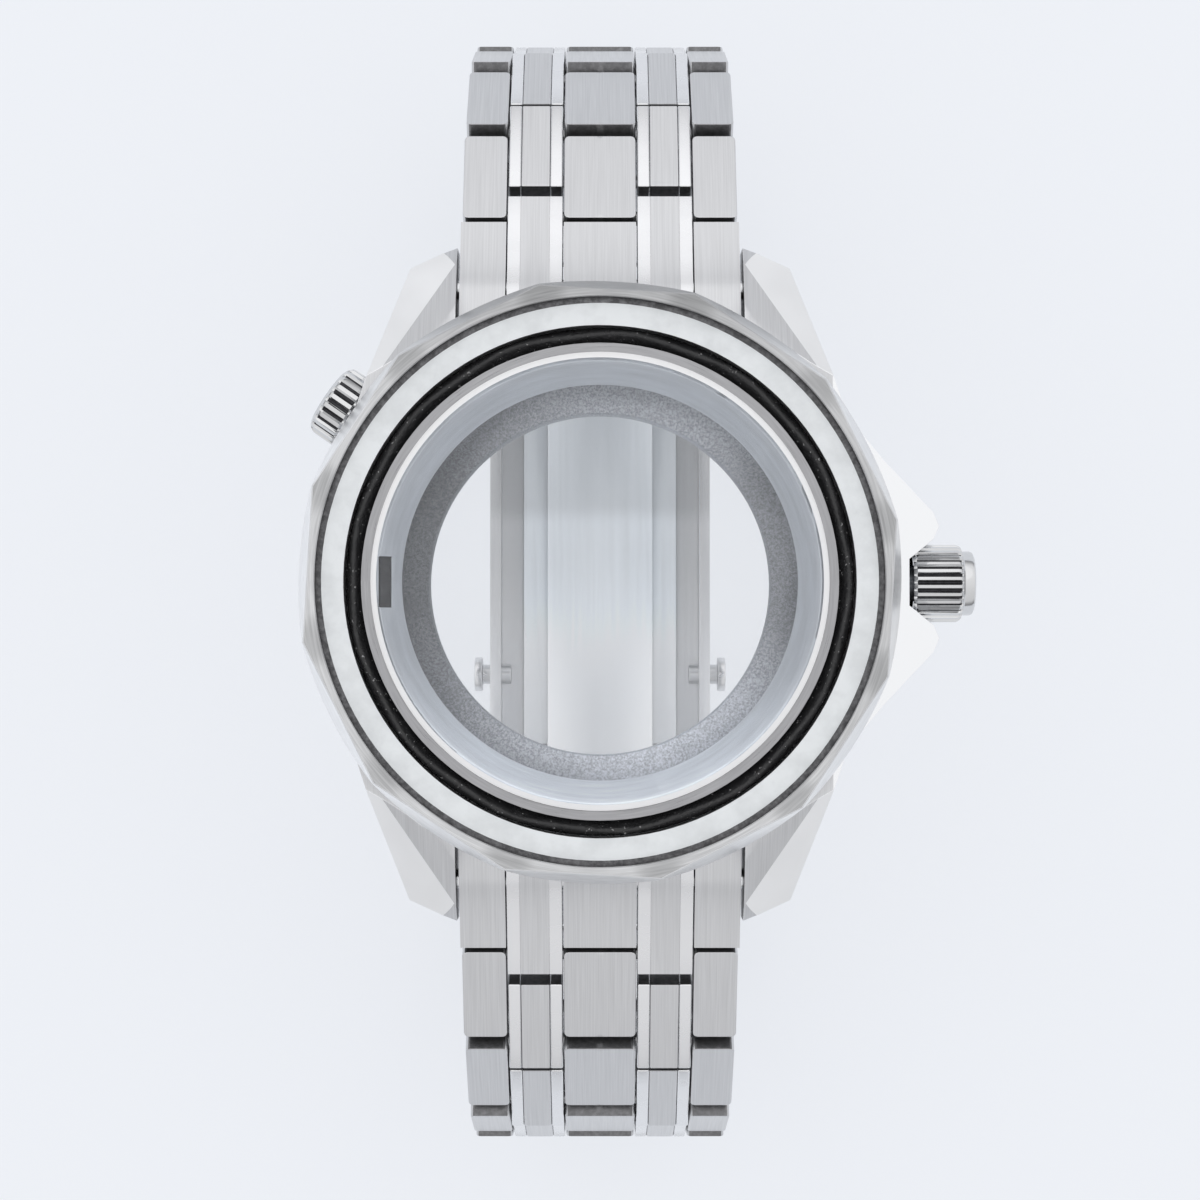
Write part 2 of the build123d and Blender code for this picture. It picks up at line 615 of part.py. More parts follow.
def inner_blade():
    """The blade from the outer blade's end to an open hook that cups the bracelet's last pin."""
    low_z = FLOOR_Z + INNER_BLADE_RISE
    high_z = low_z + INNER_BLADE_T
    half_w = INNER_BLADE_W / 2
    half_hook = HOOK_W / 2
    bore_r = PIN_R + CLASP_GAP
    hinge = cross_frame(BLADE_HINGE_Y, BLADE_HINGE_Z)
    pivot = cross_frame(HOOK_Y, HOOK_Z)
    blade = block(-half_w, half_w, BLADE_HINGE_Y, COVER_END_Y - CLASP_GAP, low_z, high_z)
    blade += rod(hinge, BLADE_KNUCKLE_R, -half_w, half_w)
    blade -= bar_hole(hinge, BLADE_PIN_R + PIN_FIT, -half_w, half_w)
    blade += block(-half_hook, half_hook, COVER_END_Y - HALF_T, HOOK_Y - bore_r, low_z, high_z)
    blade += block(-half_hook, half_hook, HOOK_Y - bore_r - HOOK_T, HOOK_Y - bore_r, HOOK_Z, high_z)
    reach = bore_r + HOOK_T + OVERRUN
    first, last = radians(HOOK_FROM_ANGLE), radians(HOOK_TO_ANGLE)
    kept = [(0, 0)] + [(reach * cos(turn), reach * sin(turn)) for turn in (first, (first + last) / 2, last)]
    hook_frame = Plane(origin=(0, HOOK_Y, HOOK_Z), x_dir=(0, 1, 0), z_dir=(1, 0, 0))
    round_part = rod(pivot, bore_r + HOOK_T, -half_hook, half_hook)
    blade += round_part & slab(hook_frame, kept, -half_hook, half_hook)
    return blade - rod(pivot, bore_r, -half_w, half_w)


def push_button(sign):
    """A push button: a round head outside the wall and a shank that ends beside the outer blade."""
    head_in = COVER_W / 2 + BUTTON_TRAVEL + RUNNING
    shank_in = OUTER_BLADE_W / 2 + BUTTON_CATCH_GAP
    head = button_rod(BUTTON_R, *sorted((sign * head_in, sign * (head_in + BUTTON_HEAD_T))))
    return head + button_rod(BUTTON_SHANK_R, *sorted((sign * shank_in, sign * head_in)))


def write_case():
    write("mid_case", mid_case())
    write("bezel", bezel())
    adhesive_r = RECESS_R - ADHESIVE_BACK
    write("bezel_adhesive_ring", ring(BEZEL_BORE_R, adhesive_r, RECESS_Z, RECESS_Z + ADHESIVE_T))
    write("bezel_gasket", ring(NECK_R, BEZEL_BORE_R - RUNNING, GASKET_BASE_Z, GASKET_TOP_Z))
    write("rehaut_ring", rehaut())
    write("crystal", rod(Plane.XY, CRYSTAL_BORE_R - CRYSTAL_FIT, REHAUT_H, CRYSTAL_TOP_Z))


def write_back():
    glass_z = BACK_OUT_Z + BACK_GLASS_INSET
    write("case_back_ring", back_ring())
    write("case_back_glass", rod(Plane.XY, BACK_WINDOW_R, glass_z, glass_z + BACK_GLASS_T))


def write_crown_and_valve():
    frame = crown_frame()
    tube = rod(frame, TUBE_R, TUBE_IN_X, TUBE_OUT_X)
    write("crown", crown())
    write("crown_tube", tube - rod(frame, STEM_R + STEM_FIT, TUBE_IN_X, TUBE_OUT_X))
    write("winding_stem", rod(frame, STEM_R, STEM_IN_X, STEM_OUT_X))
    radial = valve_frame()
    write("valve_knob", valve_knob())
    write("valve_stem", rod(radial, VALVE_STEM_R, VALVE_STEM_IN_R, VALVE_IN_R + VALVE_SOCKET))


def write_bracelet():
    bar_half = HALF_GAP + LUG_BAR_DEPTH
    write("lug_spring_bars", lug_bar(1, LUG_BAR_R, bar_half), lug_bar(-1, LUG_BAR_R, bar_half))
    write("end_link_12", end_link(1))
    write("end_link_6", end_link(-1))
    bracelet_half("12", 1, SLOPES_12, PINS_12, FLAT - SLOPES_12[-1])
    bracelet_half("6", -1, SLOPES_6, PINS_6, 0)


def write_clasp():
    write("clasp_cover", clasp_cover())
    write("clasp_spring_bar", cross_pin(BAR_Y, BAR_Z, PIN_R, COVER_IN_X))
    write("clasp_cover_hinge_pin", cross_pin(COVER_HINGE_Y, COVER_HINGE_Z, BLADE_PIN_R, COVER_IN_X))
    write("clasp_outer_blade", outer_blade())
    write("clasp_blade_hinge_pin", cross_pin(BLADE_HINGE_Y, BLADE_HINGE_Z, BLADE_PIN_R, OUTER_BLADE_W / 2))
    write("clasp_inner_blade", inner_blade())
    write("bracelet_end_pin", cross_pin(HOOK_Y, HOOK_Z, PIN_R, OUTER_IN_X))
    write("clasp_button_3", push_button(1))
    write("clasp_button_9", push_button(-1))


os.makedirs("parts", exist_ok=True)
write_case()
write_back()
write_crown_and_valve()
write_bracelet()
write_clasp()
print("pins of the 12 o'clock side", [(round(y, 3), round(z, 3)) for y, z in PINS_12])
print("slopes of the 12 o'clock side", [round(slope, 2) for slope in SLOPES_12])
print("pins of the 6 o'clock side", [(round(y, 3), round(z, 3)) for y, z in PINS_6])
print("slopes of the 6 o'clock side", [round(slope, 2) for slope in SLOPES_6])
print("floor", round(FLOOR_Z, 3), "cover", round(COVER_START_Y, 3), round(COVER_END_Y, 3))
print("cover hinge", round(COVER_HINGE_Y, 3), round(COVER_HINGE_Z, 3))
print("blade hinge", round(BLADE_HINGE_Y, 3), round(BLADE_HINGE_Z, 3))
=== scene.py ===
"""An empty steel diver's watch case on its closed bracelet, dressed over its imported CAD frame.

Lengths are metres in the frame's own axes: +X to 3 o'clock, +Y to 12 o'clock and +Z up out of the crystal.
Each operator builds one piece or group of like pieces, and main() runs them all.
"""

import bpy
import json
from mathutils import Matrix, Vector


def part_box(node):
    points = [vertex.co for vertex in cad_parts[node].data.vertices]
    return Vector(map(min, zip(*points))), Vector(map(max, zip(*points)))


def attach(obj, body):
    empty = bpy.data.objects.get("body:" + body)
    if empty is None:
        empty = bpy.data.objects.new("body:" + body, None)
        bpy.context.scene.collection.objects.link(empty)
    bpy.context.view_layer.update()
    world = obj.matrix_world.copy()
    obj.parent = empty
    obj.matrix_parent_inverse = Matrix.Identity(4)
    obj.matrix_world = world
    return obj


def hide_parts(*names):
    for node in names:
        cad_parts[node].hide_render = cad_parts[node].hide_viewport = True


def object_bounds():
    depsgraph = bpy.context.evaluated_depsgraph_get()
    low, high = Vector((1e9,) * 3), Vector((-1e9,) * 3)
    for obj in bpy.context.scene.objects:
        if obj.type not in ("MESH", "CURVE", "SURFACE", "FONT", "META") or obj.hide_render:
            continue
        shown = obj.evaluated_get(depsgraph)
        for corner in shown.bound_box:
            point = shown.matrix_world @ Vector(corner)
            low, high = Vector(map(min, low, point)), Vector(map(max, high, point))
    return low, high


bl_info = {
    "name": "Diver's watch case",
    "version": (1, 0, 0),
    "blender": (4, 5, 0),
    "location": "View3D > Sidebar > Watch case",
    "description": "Builds the finished pieces of an empty watch case on its bracelet",
    "category": "Add Mesh",
}

import json
from math import atan2, cos, hypot, pi, radians, sin, tan

import bmesh
import bpy
from mathutils import Matrix, Vector

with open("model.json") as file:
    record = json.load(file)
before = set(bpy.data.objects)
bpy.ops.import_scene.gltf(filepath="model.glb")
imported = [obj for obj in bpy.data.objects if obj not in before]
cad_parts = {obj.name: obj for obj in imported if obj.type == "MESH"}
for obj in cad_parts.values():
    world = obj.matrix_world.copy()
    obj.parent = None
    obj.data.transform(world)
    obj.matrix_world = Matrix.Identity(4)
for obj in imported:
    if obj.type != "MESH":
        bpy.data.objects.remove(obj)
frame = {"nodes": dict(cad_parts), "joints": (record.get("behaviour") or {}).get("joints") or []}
CAD_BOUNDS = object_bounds()
JOINTS = {joint["name"]: joint for joint in frame["joints"]}
START_UP_OBJECTS = ("Cube", "Light", "Camera")
WELD = 1e-6
FLAT = radians(0.5)
SHARP = radians(25)
COLUMN_SHARP = radians(20)
SECOND = "second_finish"
LINKS_12 = 6
LINKS_6 = 7


def mm(value):
    """Millimetres as metres."""
    return value * 0.001


def length(name, value, description):
    return bpy.props.FloatProperty(name=name, default=mm(value), min=0, unit="LENGTH", precision=5,
                                   description=description)


def amount(name, value, description):
    return bpy.props.IntProperty(name=name, default=value, min=3, description=description)


def angle(name, value, description):
    return bpy.props.FloatProperty(name=name, default=radians(value), subtype="ANGLE",
                                   description=description)


def colour(name, value, description):
    return bpy.props.FloatVectorProperty(name=name, subtype="COLOR", size=3, min=0, max=1, default=value,
                                         description=description)


class WatchCaseHeadSizes(bpy.types.PropertyGroup):
    """Sizes of the case, the bezel and what they hold."""
    edge: length("Edge", 0.12, "Bevel along the case's edges")
    guard_root: length("Guard root", 16.0, "How far to 3 o'clock the polished crown guards begin")
    guard_half: length("Guard reach", 14, "How far to 12 and 6 o'clock the polished crown guards reach")
    lug_start: length("Lug start", 13.5, "How far to 12 and 6 o'clock the lugs' facets begin")
    neck_z: length("Neck", 0.7, "Height above which the case's neck is turned, not polished")
    bezel_bore: length("Bezel bore", 17.4, "Radius of the bezel's bore")
    bezel_recess: length("Bezel recess", 19.3, "Radius of the recess for the bezel's insert")
    bezel_recess_depth: length("Recess depth", 0.65, "Depth of the recess")
    bezel_edge: length("Bezel edge", 0.07, "Bevel along the bezel's edges")
    bezel_grip: length("Bezel grip", 0.1, "How far the finished bezel's rim stands past the CAD solid")
    scallops: amount("Scallops", 12, "Scallops round the bezel")
    scallop_in: length("Scallop depth", 0.8, "How far a scallop cuts into the bezel's top")
    scallop_low: length("Scallop foot", 1.4, "Height at which a scallop starts, above the dial seat")
    scallop_phase: angle("Scallop phase", 26.7, "Angle of the first scallop from 3 o'clock")
    gasket_waves: amount("Gasket waves", 13, "Ripples round the rubber gasket")
    gasket_wave: length("Gasket ripple", 0.12, "How far the rubber ripples sideways")
    gasket_overlap: length("Gasket overlap", 1.18, "How far inside the bezel's bore the gasket reaches")
    ring_edge: length("Ring edge", 0.05, "Bevel along the edges of the ring under the crystal")
    key_half: length("Key slot", 1.75, "Half the width of the slot in the ring under the crystal")
    crystal_edge: length("Crystal edge", 0.1, "Bevel round the crystal's underside")
    crystal_chamfer: length("Crystal chamfer", 0.42, "Chamfer round the crystal's top edge")
    back_edge: length("Back edge", 0.12, "Bevel along the case back's edges")
    window_chamfer: length("Window chamfer", 0.2, "Chamfer round the case back's window")
    crown_radius: length("Crown radius", 2.7, "Radius over the crown's flutes")
    crown_flutes: amount("Crown flutes", 30, "Flutes of the crown")
    crown_cap: length("Crown cap", 0.35, "How far the finished crown's cap stands past the CAD solid")
    valve_radius: length("Valve radius", 2.65, "Radius over the valve knob's flutes")
    valve_flutes: amount("Valve flutes", 21, "Flutes of the valve's knob")
    valve_start: length("Valve start", 20.85, "Distance of the valve knob's foot from the case's axis")
    valve_end: length("Valve end", 23.07, "Distance of the valve knob's top from the case's axis")
    flute_depth: length("Flute depth", 0.27, "Depth of the flutes")


class WatchCaseBraceletSizes(bpy.types.PropertyGroup):
    """Sizes of the bracelet's links, end links and clasp."""
    centre: length("Centre width", 5.1, "Width of the centre piece")
    strip: length("Strip width", 0.9, "Width of a polished strip")
    middle: length("Middle width", 2.05, "Width of the brushed band between two strips")
    gap: length("Column gap", 0.1, "Gap between a piece and the group beside it")
    thick: length("Thickness", 3.2, "Thickness of a link")
    heel: length("Heel", 1.0, "How far an outer or centre piece starts before its pin")
    toe: length("Toe", 1.5, "How far a middle group ends past the next pin")
    clasp_toe: length("Toe in the clasp", 1.15, "The same toe on the link that the clasp's cover swings on")
    clasp_gap: length("Gap in the clasp", 0.24, "Gap from the cover's corner to the link that it swings on")
    end_toe: length("End link toe", 0.9, "How far the end link's groups end past the first pin")
    row_gap: length("Row gap", 0.2, "Gap from row to row")
    edge: length("Edge", 0.12, "Bevel along a link's edges")
    corner: length("Corners", 0.35, "Rounding of the corners of the outer and centre pieces")
    strip_edge: length("Strip edge", 0.12, "Rounding of a polished strip")
    end_strip_edge: length("End strip edge", 0.4, "Rounding of an end link's polished strip")
    bend_spare: angle("Bend spare", 2, "Spare angle of the links' undercuts")
    pin: length("Pin radius", 0.5, "Radius of the pins")
    pin_recess: length("Pin recess", 1.5, "How far a link's pin ends inside its outer faces")
    wall: length("Case wall", 19.45, "Radius of the case's wall that the end links fit")
    end_top: length("End link top", 0.3, "How far the end links' backs start below the dial seat")
    end_low: length("End link foot", 6.65, "How far the end links' feet lie below the dial seat")
    end_front: length("End link front", 20.7, "How far out the end links' feet reach")
    lug_bar: length("Lug bar", 0.75, "Radius of the bars between the lugs")
    hinge_pin: length("Hinge pin", 0.45, "Radius of the clasp's hinge pins")
    cover_edge: length("Cover edge", 0.25, "Rounding of the clasp cover's edges")
    blade_edge: length("Blade edge", 0.1, "Rounding of the blades' edges")
    button_edge: length("Button edge", 0.12, "Rounding of the push buttons' edges")


class WatchCaseColours(bpy.types.PropertyGroup):
    """Colours of the finishes."""
    brushed: colour("Brushed steel", (0.655, 0.66, 0.67), "Brushed steel")
    bezel: colour("Bezel top", (0.605, 0.61, 0.615), "Steel brushed round on the bezel's top")
    polished: colour("Polished steel", (0.87, 0.88, 0.89), "Polished steel")
    blasted: colour("Blasted steel", (0.215, 0.225, 0.245), "Blasted steel of the case back")
    lacquer: colour("Ring lacquer", (0.55, 0.585, 0.63), "Blue-grey ring under the crystal")
    rubber: colour("Rubber", (0.02, 0.02, 0.021), "Black rubber")
    adhesive: colour("Adhesive", (0.75, 0.775, 0.785), "White adhesive ring")
    glass: colour("Glass", (0.93, 0.955, 0.98), "Tint of the crystal")
    # Painted highlight: near-opaque white on the crystal's chamfer.
    glass_edge: colour("Glass edge", (1.0, 1.0, 1.0), "Bright chamfer of the crystal")
    satin: colour("Satin steel", (0.735, 0.78, 0.82), "Satin steel of the clasp's blades")
    cover: colour("Clasp cover", (0.56, 0.565, 0.575), "Satin steel inside the clasp's cover")
    # Painted shade on the wall and floor of the bezel's recess.
    grime: colour("Grime", (0.15, 0.15, 0.155), "Dirty steel of the bezel's groove")
    # Painted shade in the bottoms of the knobs' flutes and in the ring's key slot.
    groove: colour("Flutes", (0.05, 0.05, 0.055), "Dark bottoms of the knobs' flutes")
    # Painted shade on the links' ends that face the next row.
    gap: colour("Row gaps", (0.20, 0.20, 0.205), "Darkened ends of the links")
    neck: colour("Neck", (0.37, 0.37, 0.38), "Turned neck round the crystal")
    strips: colour("Polished strips", (0.80, 0.805, 0.815), "Polished strips of the bracelet")
    knobs: colour("Knobs", (0.66, 0.665, 0.67), "Polished crown and valve knobs")
    backdrop: colour("Backdrop", (0.93, 0.945, 0.97), "The white behind the floor")
    side: colour("Sides", (0.70, 0.705, 0.715), "Sides of the case, brushed level")
    lug_facet: colour("Lug facets", (0.92, 0.93, 0.94), "Polished facets on the lugs")
    facet: colour("Facets", (0.90, 0.905, 0.91), "Satin facets of the bezel's scallops")
    floor: colour("Floor", (0.86, 0.885, 0.93), "Pale floor")


# Meshes

def opened(mesh):
    """A bmesh of a mesh."""
    bm = bmesh.new()
    bm.from_mesh(mesh)
    return bm


def built(bm, name):
    """A new mesh from a bmesh, which is freed."""
    mesh = bpy.data.meshes.new(name)
    bm.to_mesh(mesh)
    bm.free()
    return mesh


def weld(bm):
    bmesh.ops.remove_doubles(bm, verts=bm.verts, dist=WELD)


def bevel(bm, edges, width, segments=2):
    bmesh.ops.bevel(bm, geom=edges, offset=width, segments=segments, profile=0.5, affect="EDGES",
                    clamp_overlap=True)


def mesh_from(bm, name):
    """A mesh from a bmesh, its doubles merged and its faces pointing out."""
    weld(bm)
    bmesh.ops.recalc_face_normals(bm, faces=bm.faces)
    return built(bm, name)


def sharp_edges(bm, least):
    return [edge for edge in bm.edges if len(edge.link_faces) == 2 and edge.calc_face_angle(0) > least]


def softened_bmesh(node, width, segments=2):
    """A merged copy of a CAD node's mesh with bevelled edges."""
    bm = opened(frame["nodes"][node].data)
    weld(bm)
    bmesh.ops.dissolve_limit(bm, angle_limit=FLAT, verts=bm.verts, edges=bm.edges)
    bevel(bm, sharp_edges(bm, SHARP), width, segments)
    return bm


def softened(node, width, segments=2):
    return built(softened_bmesh(node, width, segments), node)


def raised(bm, profile, turn):
    """New vertices at (radius, height) points, turned about Z."""
    return [bm.verts.new((r * cos(turn), r * sin(turn), z)) for r, z in profile]


def turned(profile, steps, name):
    """A solid from (radius, height) points turned about Z, its first and last points on the axis."""
    bm = bmesh.new()
    low = bm.verts.new((0, 0, profile[0][1]))
    high = bm.verts.new((0, 0, profile[-1][1]))
    rings = [raised(bm, profile[1:-1], 2 * pi * step / steps) for step in range(steps)]
    for ring, after in zip(rings, rings[1:] + rings[:1]):
        bm.faces.new((low, after[0], ring[0]))
        bm.faces.new((high, ring[-1], after[-1]))
        for place in range(len(ring) - 1):
            bm.faces.new((ring[place], after[place], after[place + 1], ring[place + 1]))
    return mesh_from(bm, name)


def sector(profile_at, count, steps, name, second=lambda step, place: False):
    """One of count equal sectors about Z: profile_at(turn) gives its closed (radius, height) loop."""
    bm = bmesh.new()
    layer = bm.faces.layers.bool.new(SECOND)
    half = pi / count
    turns = [-half + 2 * half * step / steps for step in range(steps + 1)]
    loops = [raised(bm, profile_at(turn), turn) for turn in turns]
    for step, (before, after) in enumerate(zip(loops, loops[1:])):
        for place in range(len(before)):
            up = (place + 1) % len(before)
            face = bm.faces.new((before[place], after[place], after[up], before[up]))
            face[layer] = second(step, place)
    return built(bm, name)


def prism(outline, name):
    """A solid one unit deep along Z from an outline on XY."""
    bm = bmesh.new()
    low = [bm.verts.new((x, y, 0)) for x, y in outline]
    high = [bm.verts.new((x, y, 1)) for x, y in outline]
    bm.faces.new(low[::-1])
    bm.faces.new(high)
    for place in range(len(outline)):
        after = (place + 1) % len(outline)
        bm.faces.new((low[place], low[after], high[after], high[place]))
    return mesh_from(bm, name)


def joined(meshes, name):
    """One mesh from several."""
    bm = bmesh.new()
    for mesh in meshes:
        bm.from_mesh(mesh)
    return built(bm, name)


def finish_places(mesh, finishes):
    """Each face's place among the finishes, from the finish that it has, or else from its number."""
    had = list(mesh.materials)
    if not had:
        return [face.material_index for face in mesh.polygons]
    return [finishes.index(had[face.material_index]) for face in mesh.polygons]


def sharpen_borders(mesh):
    """Marks the edges between two finishes as sharp."""
    seen = {}
    for face in mesh.polygons:
        for key in face.edge_keys:
            seen.setdefault(key, set()).add(face.material_index)
    for edge in mesh.edges:
        if len(seen.get(edge.key, ())) > 1:
            edge.use_edge_sharp = True


def evaluated(mesh, kind, settings, inputs=()):
    """A plain mesh from a mesh put through one modifier with its settings and node inputs."""
    obj = bpy.data.objects.new(mesh.name, mesh)
    bpy.context.scene.collection.objects.link(obj)
    modifier = obj.modifiers.new(kind, kind)
    for name, value in settings.items():
        setattr(modifier, name, value)
    for identifier, value in inputs:
        modifier[identifier] = value
    obj.update_tag()
    depsgraph = bpy.context.evaluated_depsgraph_get()
    result = bpy.data.meshes.new_from_object(obj.evaluated_get(depsgraph), depsgraph=depsgraph)
    bpy.data.objects.remove(obj)
    return result


def piece(name, mesh, body, finishes, replaced=(), smooth=radians(30), finish_of=None, flat=False):
    """A finished piece on its body, standing for the CAD nodes named.

    finish_of gives a face's place among the finishes. A flat piece has its normals weighted by area, so that
    its broad faces look flat beside their bevels.
    """
    if not mesh.polygons:
        raise RuntimeError(f"{name} has no faces")
    places = finish_places(mesh, finishes)
    if finish_of:
        places = [finish_of(face, place) for face, place in zip(mesh.polygons, places)]
    mesh.materials.clear()
    for finish in finishes:
        mesh.materials.append(finish)
    mesh.polygons.foreach_set("material_index", places)
    mesh.shade_smooth()
    mesh.set_sharp_from_angle(angle=smooth)
    if flat:
        sharpen_borders(mesh)
        mesh = evaluated(mesh, "WEIGHTED_NORMAL", {"keep_sharp": True})
    mesh.name = name
    obj = bpy.data.objects.new(name, mesh)
    bpy.context.scene.collection.objects.link(obj)
    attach(obj, body)
    if replaced:
        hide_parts(*replaced)


# Nodes

def new_node(tree, kind, inputs=None, **settings):
    """A new node's outputs; its inputs are linked to sockets or set to values, by their names or places."""
    node = tree.nodes.new(kind)
    for name, value in settings.items():
        setattr(node, name, value)
    for key, value in (inputs or {}).items():
        if isinstance(value, bpy.types.NodeSocket):
            tree.links.new(value, node.inputs[key])
        else:
            node.inputs[key].default_value = value
    return node.outputs


def tree_with(name, inputs):
    """A geometry tree with named inputs, and the outputs of its group input."""
    tree = bpy.data.node_groups.new(name, "GeometryNodeTree")
    tree.interface.new_socket("Geometry", in_out="INPUT", socket_type="NodeSocketGeometry")
    for label, kind in inputs:
        tree.interface.new_socket(label, in_out="INPUT", socket_type=kind)
    tree.interface.new_socket("Geometry", in_out="OUTPUT", socket_type="NodeSocketGeometry")
    return tree, tree.nodes.new("NodeGroupInput").outputs


def painted(tree, geometry, finish, where):
    """A geometry with a finish on its faces, or on those where a field says so."""
    return new_node(tree, "GeometryNodeSetMaterial",
                    {"Geometry": geometry, "Material": finish, "Selection": where})["Geometry"]


def round_tree():
    """A sector repeated about Z and welded, with one finish and a second on its marked faces."""
    tree, given = tree_with("Round the axis", (("Count", "NodeSocketInt"), ("Finish", "NodeSocketMaterial"),
                                               ("Second finish", "NodeSocketMaterial")))
    points = new_node(tree, "GeometryNodePoints", {"Count": given["Count"]})[0]
    index = new_node(tree, "GeometryNodeInputIndex")["Index"]
    pitch = math_node(tree, "DIVIDE", 2 * pi, given["Count"])
    turn = new_node(tree, "ShaderNodeCombineXYZ", {"Z": math_node(tree, "MULTIPLY", index, pitch)})["Vector"]
    rotation = new_node(tree, "FunctionNodeEulerToRotation", {"Euler": turn})["Rotation"]
    copies = new_node(tree, "GeometryNodeInstanceOnPoints",
                      {"Points": points, "Instance": given["Geometry"], "Rotation": rotation})["Instances"]
    real = new_node(tree, "GeometryNodeRealizeInstances", {"Geometry": copies})["Geometry"]
    whole = new_node(tree, "GeometryNodeMergeByDistance", {"Geometry": real, "Distance": WELD})["Geometry"]
    marked = new_node(tree, "GeometryNodeInputNamedAttribute", {"Name": SECOND}, data_type="BOOLEAN")[0]
    first = painted(tree, whole, given["Finish"], True)
    new_node(tree, "NodeGroupOutput", {"Geometry": painted(tree, first, given["Second finish"], marked)})
    return tree


def across_tree():
    """A prism set across the bracelet by its distance from the middle and its width, on both sides."""
    tree, given = tree_with("Across the bracelet", (("Near", "NodeSocketFloat"), ("Width", "NodeSocketFloat"),
                                                    ("Finish", "NodeSocketMaterial")))
    scale = new_node(tree, "ShaderNodeCombineXYZ", {"X": 1, "Y": 1, "Z": given["Width"]})["Vector"]
    shift = new_node(tree, "ShaderNodeCombineXYZ", {"Z": given["Near"]})["Vector"]
    place = new_node(tree, "GeometryNodeTransform",
                     {"Geometry": given["Geometry"], "Scale": scale, "Translation": shift})["Geometry"]
    across = new_node(tree, "GeometryNodeTransform", {"Geometry": place, "Scale": (1, 1, -1)})["Geometry"]
    flip = new_node(tree, "GeometryNodeFlipFaces", {"Mesh": across})["Mesh"]
    both = tree.nodes.new("GeometryNodeJoinGeometry")
    for side in (flip, place):
        tree.links.new(side, both.inputs["Geometry"])
    real = new_node(tree, "GeometryNodeRealizeInstances", {"Geometry": both.outputs["Geometry"]})["Geometry"]
    new_node(tree, "NodeGroupOutput", {"Geometry": painted(tree, real, given["Finish"], True)})
    return tree


def grown(mesh, tree, values):
    """A plain mesh from a mesh put through a tree, with the tree's named inputs set."""
    inputs = [(item.identifier, values[item.name]) for item in tree.interface.items_tree
              if item.in_out == "INPUT" and item.name in values]
    return evaluated(mesh, "NODES", {"node_group": tree}, inputs)


def math_node(tree, operation, *values):
    """The result of a Math node on values that are sockets or numbers."""
    return new_node(tree, "ShaderNodeMath", dict(enumerate(values)), operation=operation)["Value"]


def spread(tree, value, low, high, start=0, end=1, smooth=False):
    """A value between start and end mapped to low and high."""
    inputs = {"Value": value, "From Min": start, "From Max": end, "To Min": low, "To Max": high}
    kind = "SMOOTHSTEP" if smooth else "LINEAR"
    return new_node(tree, "ShaderNodeMapRange", inputs, interpolation_type=kind)["Result"]


def parts_of(tree, point):
    return new_node(tree, "ShaderNodeSeparateXYZ", {"Vector": point})


def scaled(tree, vector, share):
    inputs = {"Vector": vector, "Scale": share}
    return new_node(tree, "ShaderNodeVectorMath", inputs, operation="SCALE")["Vector"]


# Finishes

def object_point(tree):
    """The point in the frame's own axes, as every finished piece's object sits at the origin."""
    return new_node(tree, "ShaderNodeTexCoord")["Object"]


def stretched(tree, point, scale):
    """A point scaled differently along each axis."""
    return new_node(tree, "ShaderNodeMapping", {"Vector": point, "Scale": scale})["Vector"]


def round_point(tree, point, fine, long):
    """Radius, turn and height, so that a pattern's streaks run round Z."""
    parts = parts_of(tree, point)
    flat = new_node(tree, "ShaderNodeCombineXYZ", {"X": parts["X"], "Y": parts["Y"]})["Vector"]
    reach = new_node(tree, "ShaderNodeVectorMath", {0: flat}, operation="LENGTH")["Value"]
    turn = math_node(tree, "ARCTAN2", parts["Y"], parts["X"])
    whole = new_node(tree, "ShaderNodeCombineXYZ", {"X": reach, "Y": turn, "Z": parts["Z"]})["Vector"]
    return stretched(tree, whole, (fine, long, fine))


def noise(tree, point, scale=1.0, detail=3.0, rough=0.55):
    inputs = {"Vector": point, "Scale": scale, "Detail": detail, "Roughness": rough}
    return new_node(tree, "ShaderNodeTexNoise", inputs)["Fac"]


def ramp(tree, value, low, high, dark, light):
    """A colour between two, as a value goes from low to high."""
    node = tree.nodes.new("ShaderNodeValToRGB")
    for stop, position, color in zip(node.color_ramp.elements, (low, high), (dark, light)):
        stop.position = position
        stop.color = (*color, 1)
    tree.links.new(value, node.inputs["Fac"])
    return node.outputs["Color"]


def shades(base, share):
    """A darker and a lighter shade of a colour."""
    return [c * (1 - share) for c in base], [min(1, c * (1 + share)) for c in base]


def graded(tree, color, axis, low, high, start, end):
    """A colour times a share that changes along one axis, in mm: painted light and shade, for metal that
    mirrors an uneven room.
    """
    place = parts_of(tree, object_point(tree))[axis]
    return scaled(tree, color, spread(tree, place, start, end, mm(low), mm(high), smooth=True))


def shader(name, base, metallic, roughness):
    """A new material and its Principled shader."""
    material = bpy.data.materials.new(name)
    material.use_nodes = True
    surface = material.node_tree.nodes["Principled BSDF"]
    for key, value in (("Base Color", (*base, 1)), ("Metallic", metallic), ("Roughness", roughness)):
        surface.inputs[key].default_value = value
    return material, surface


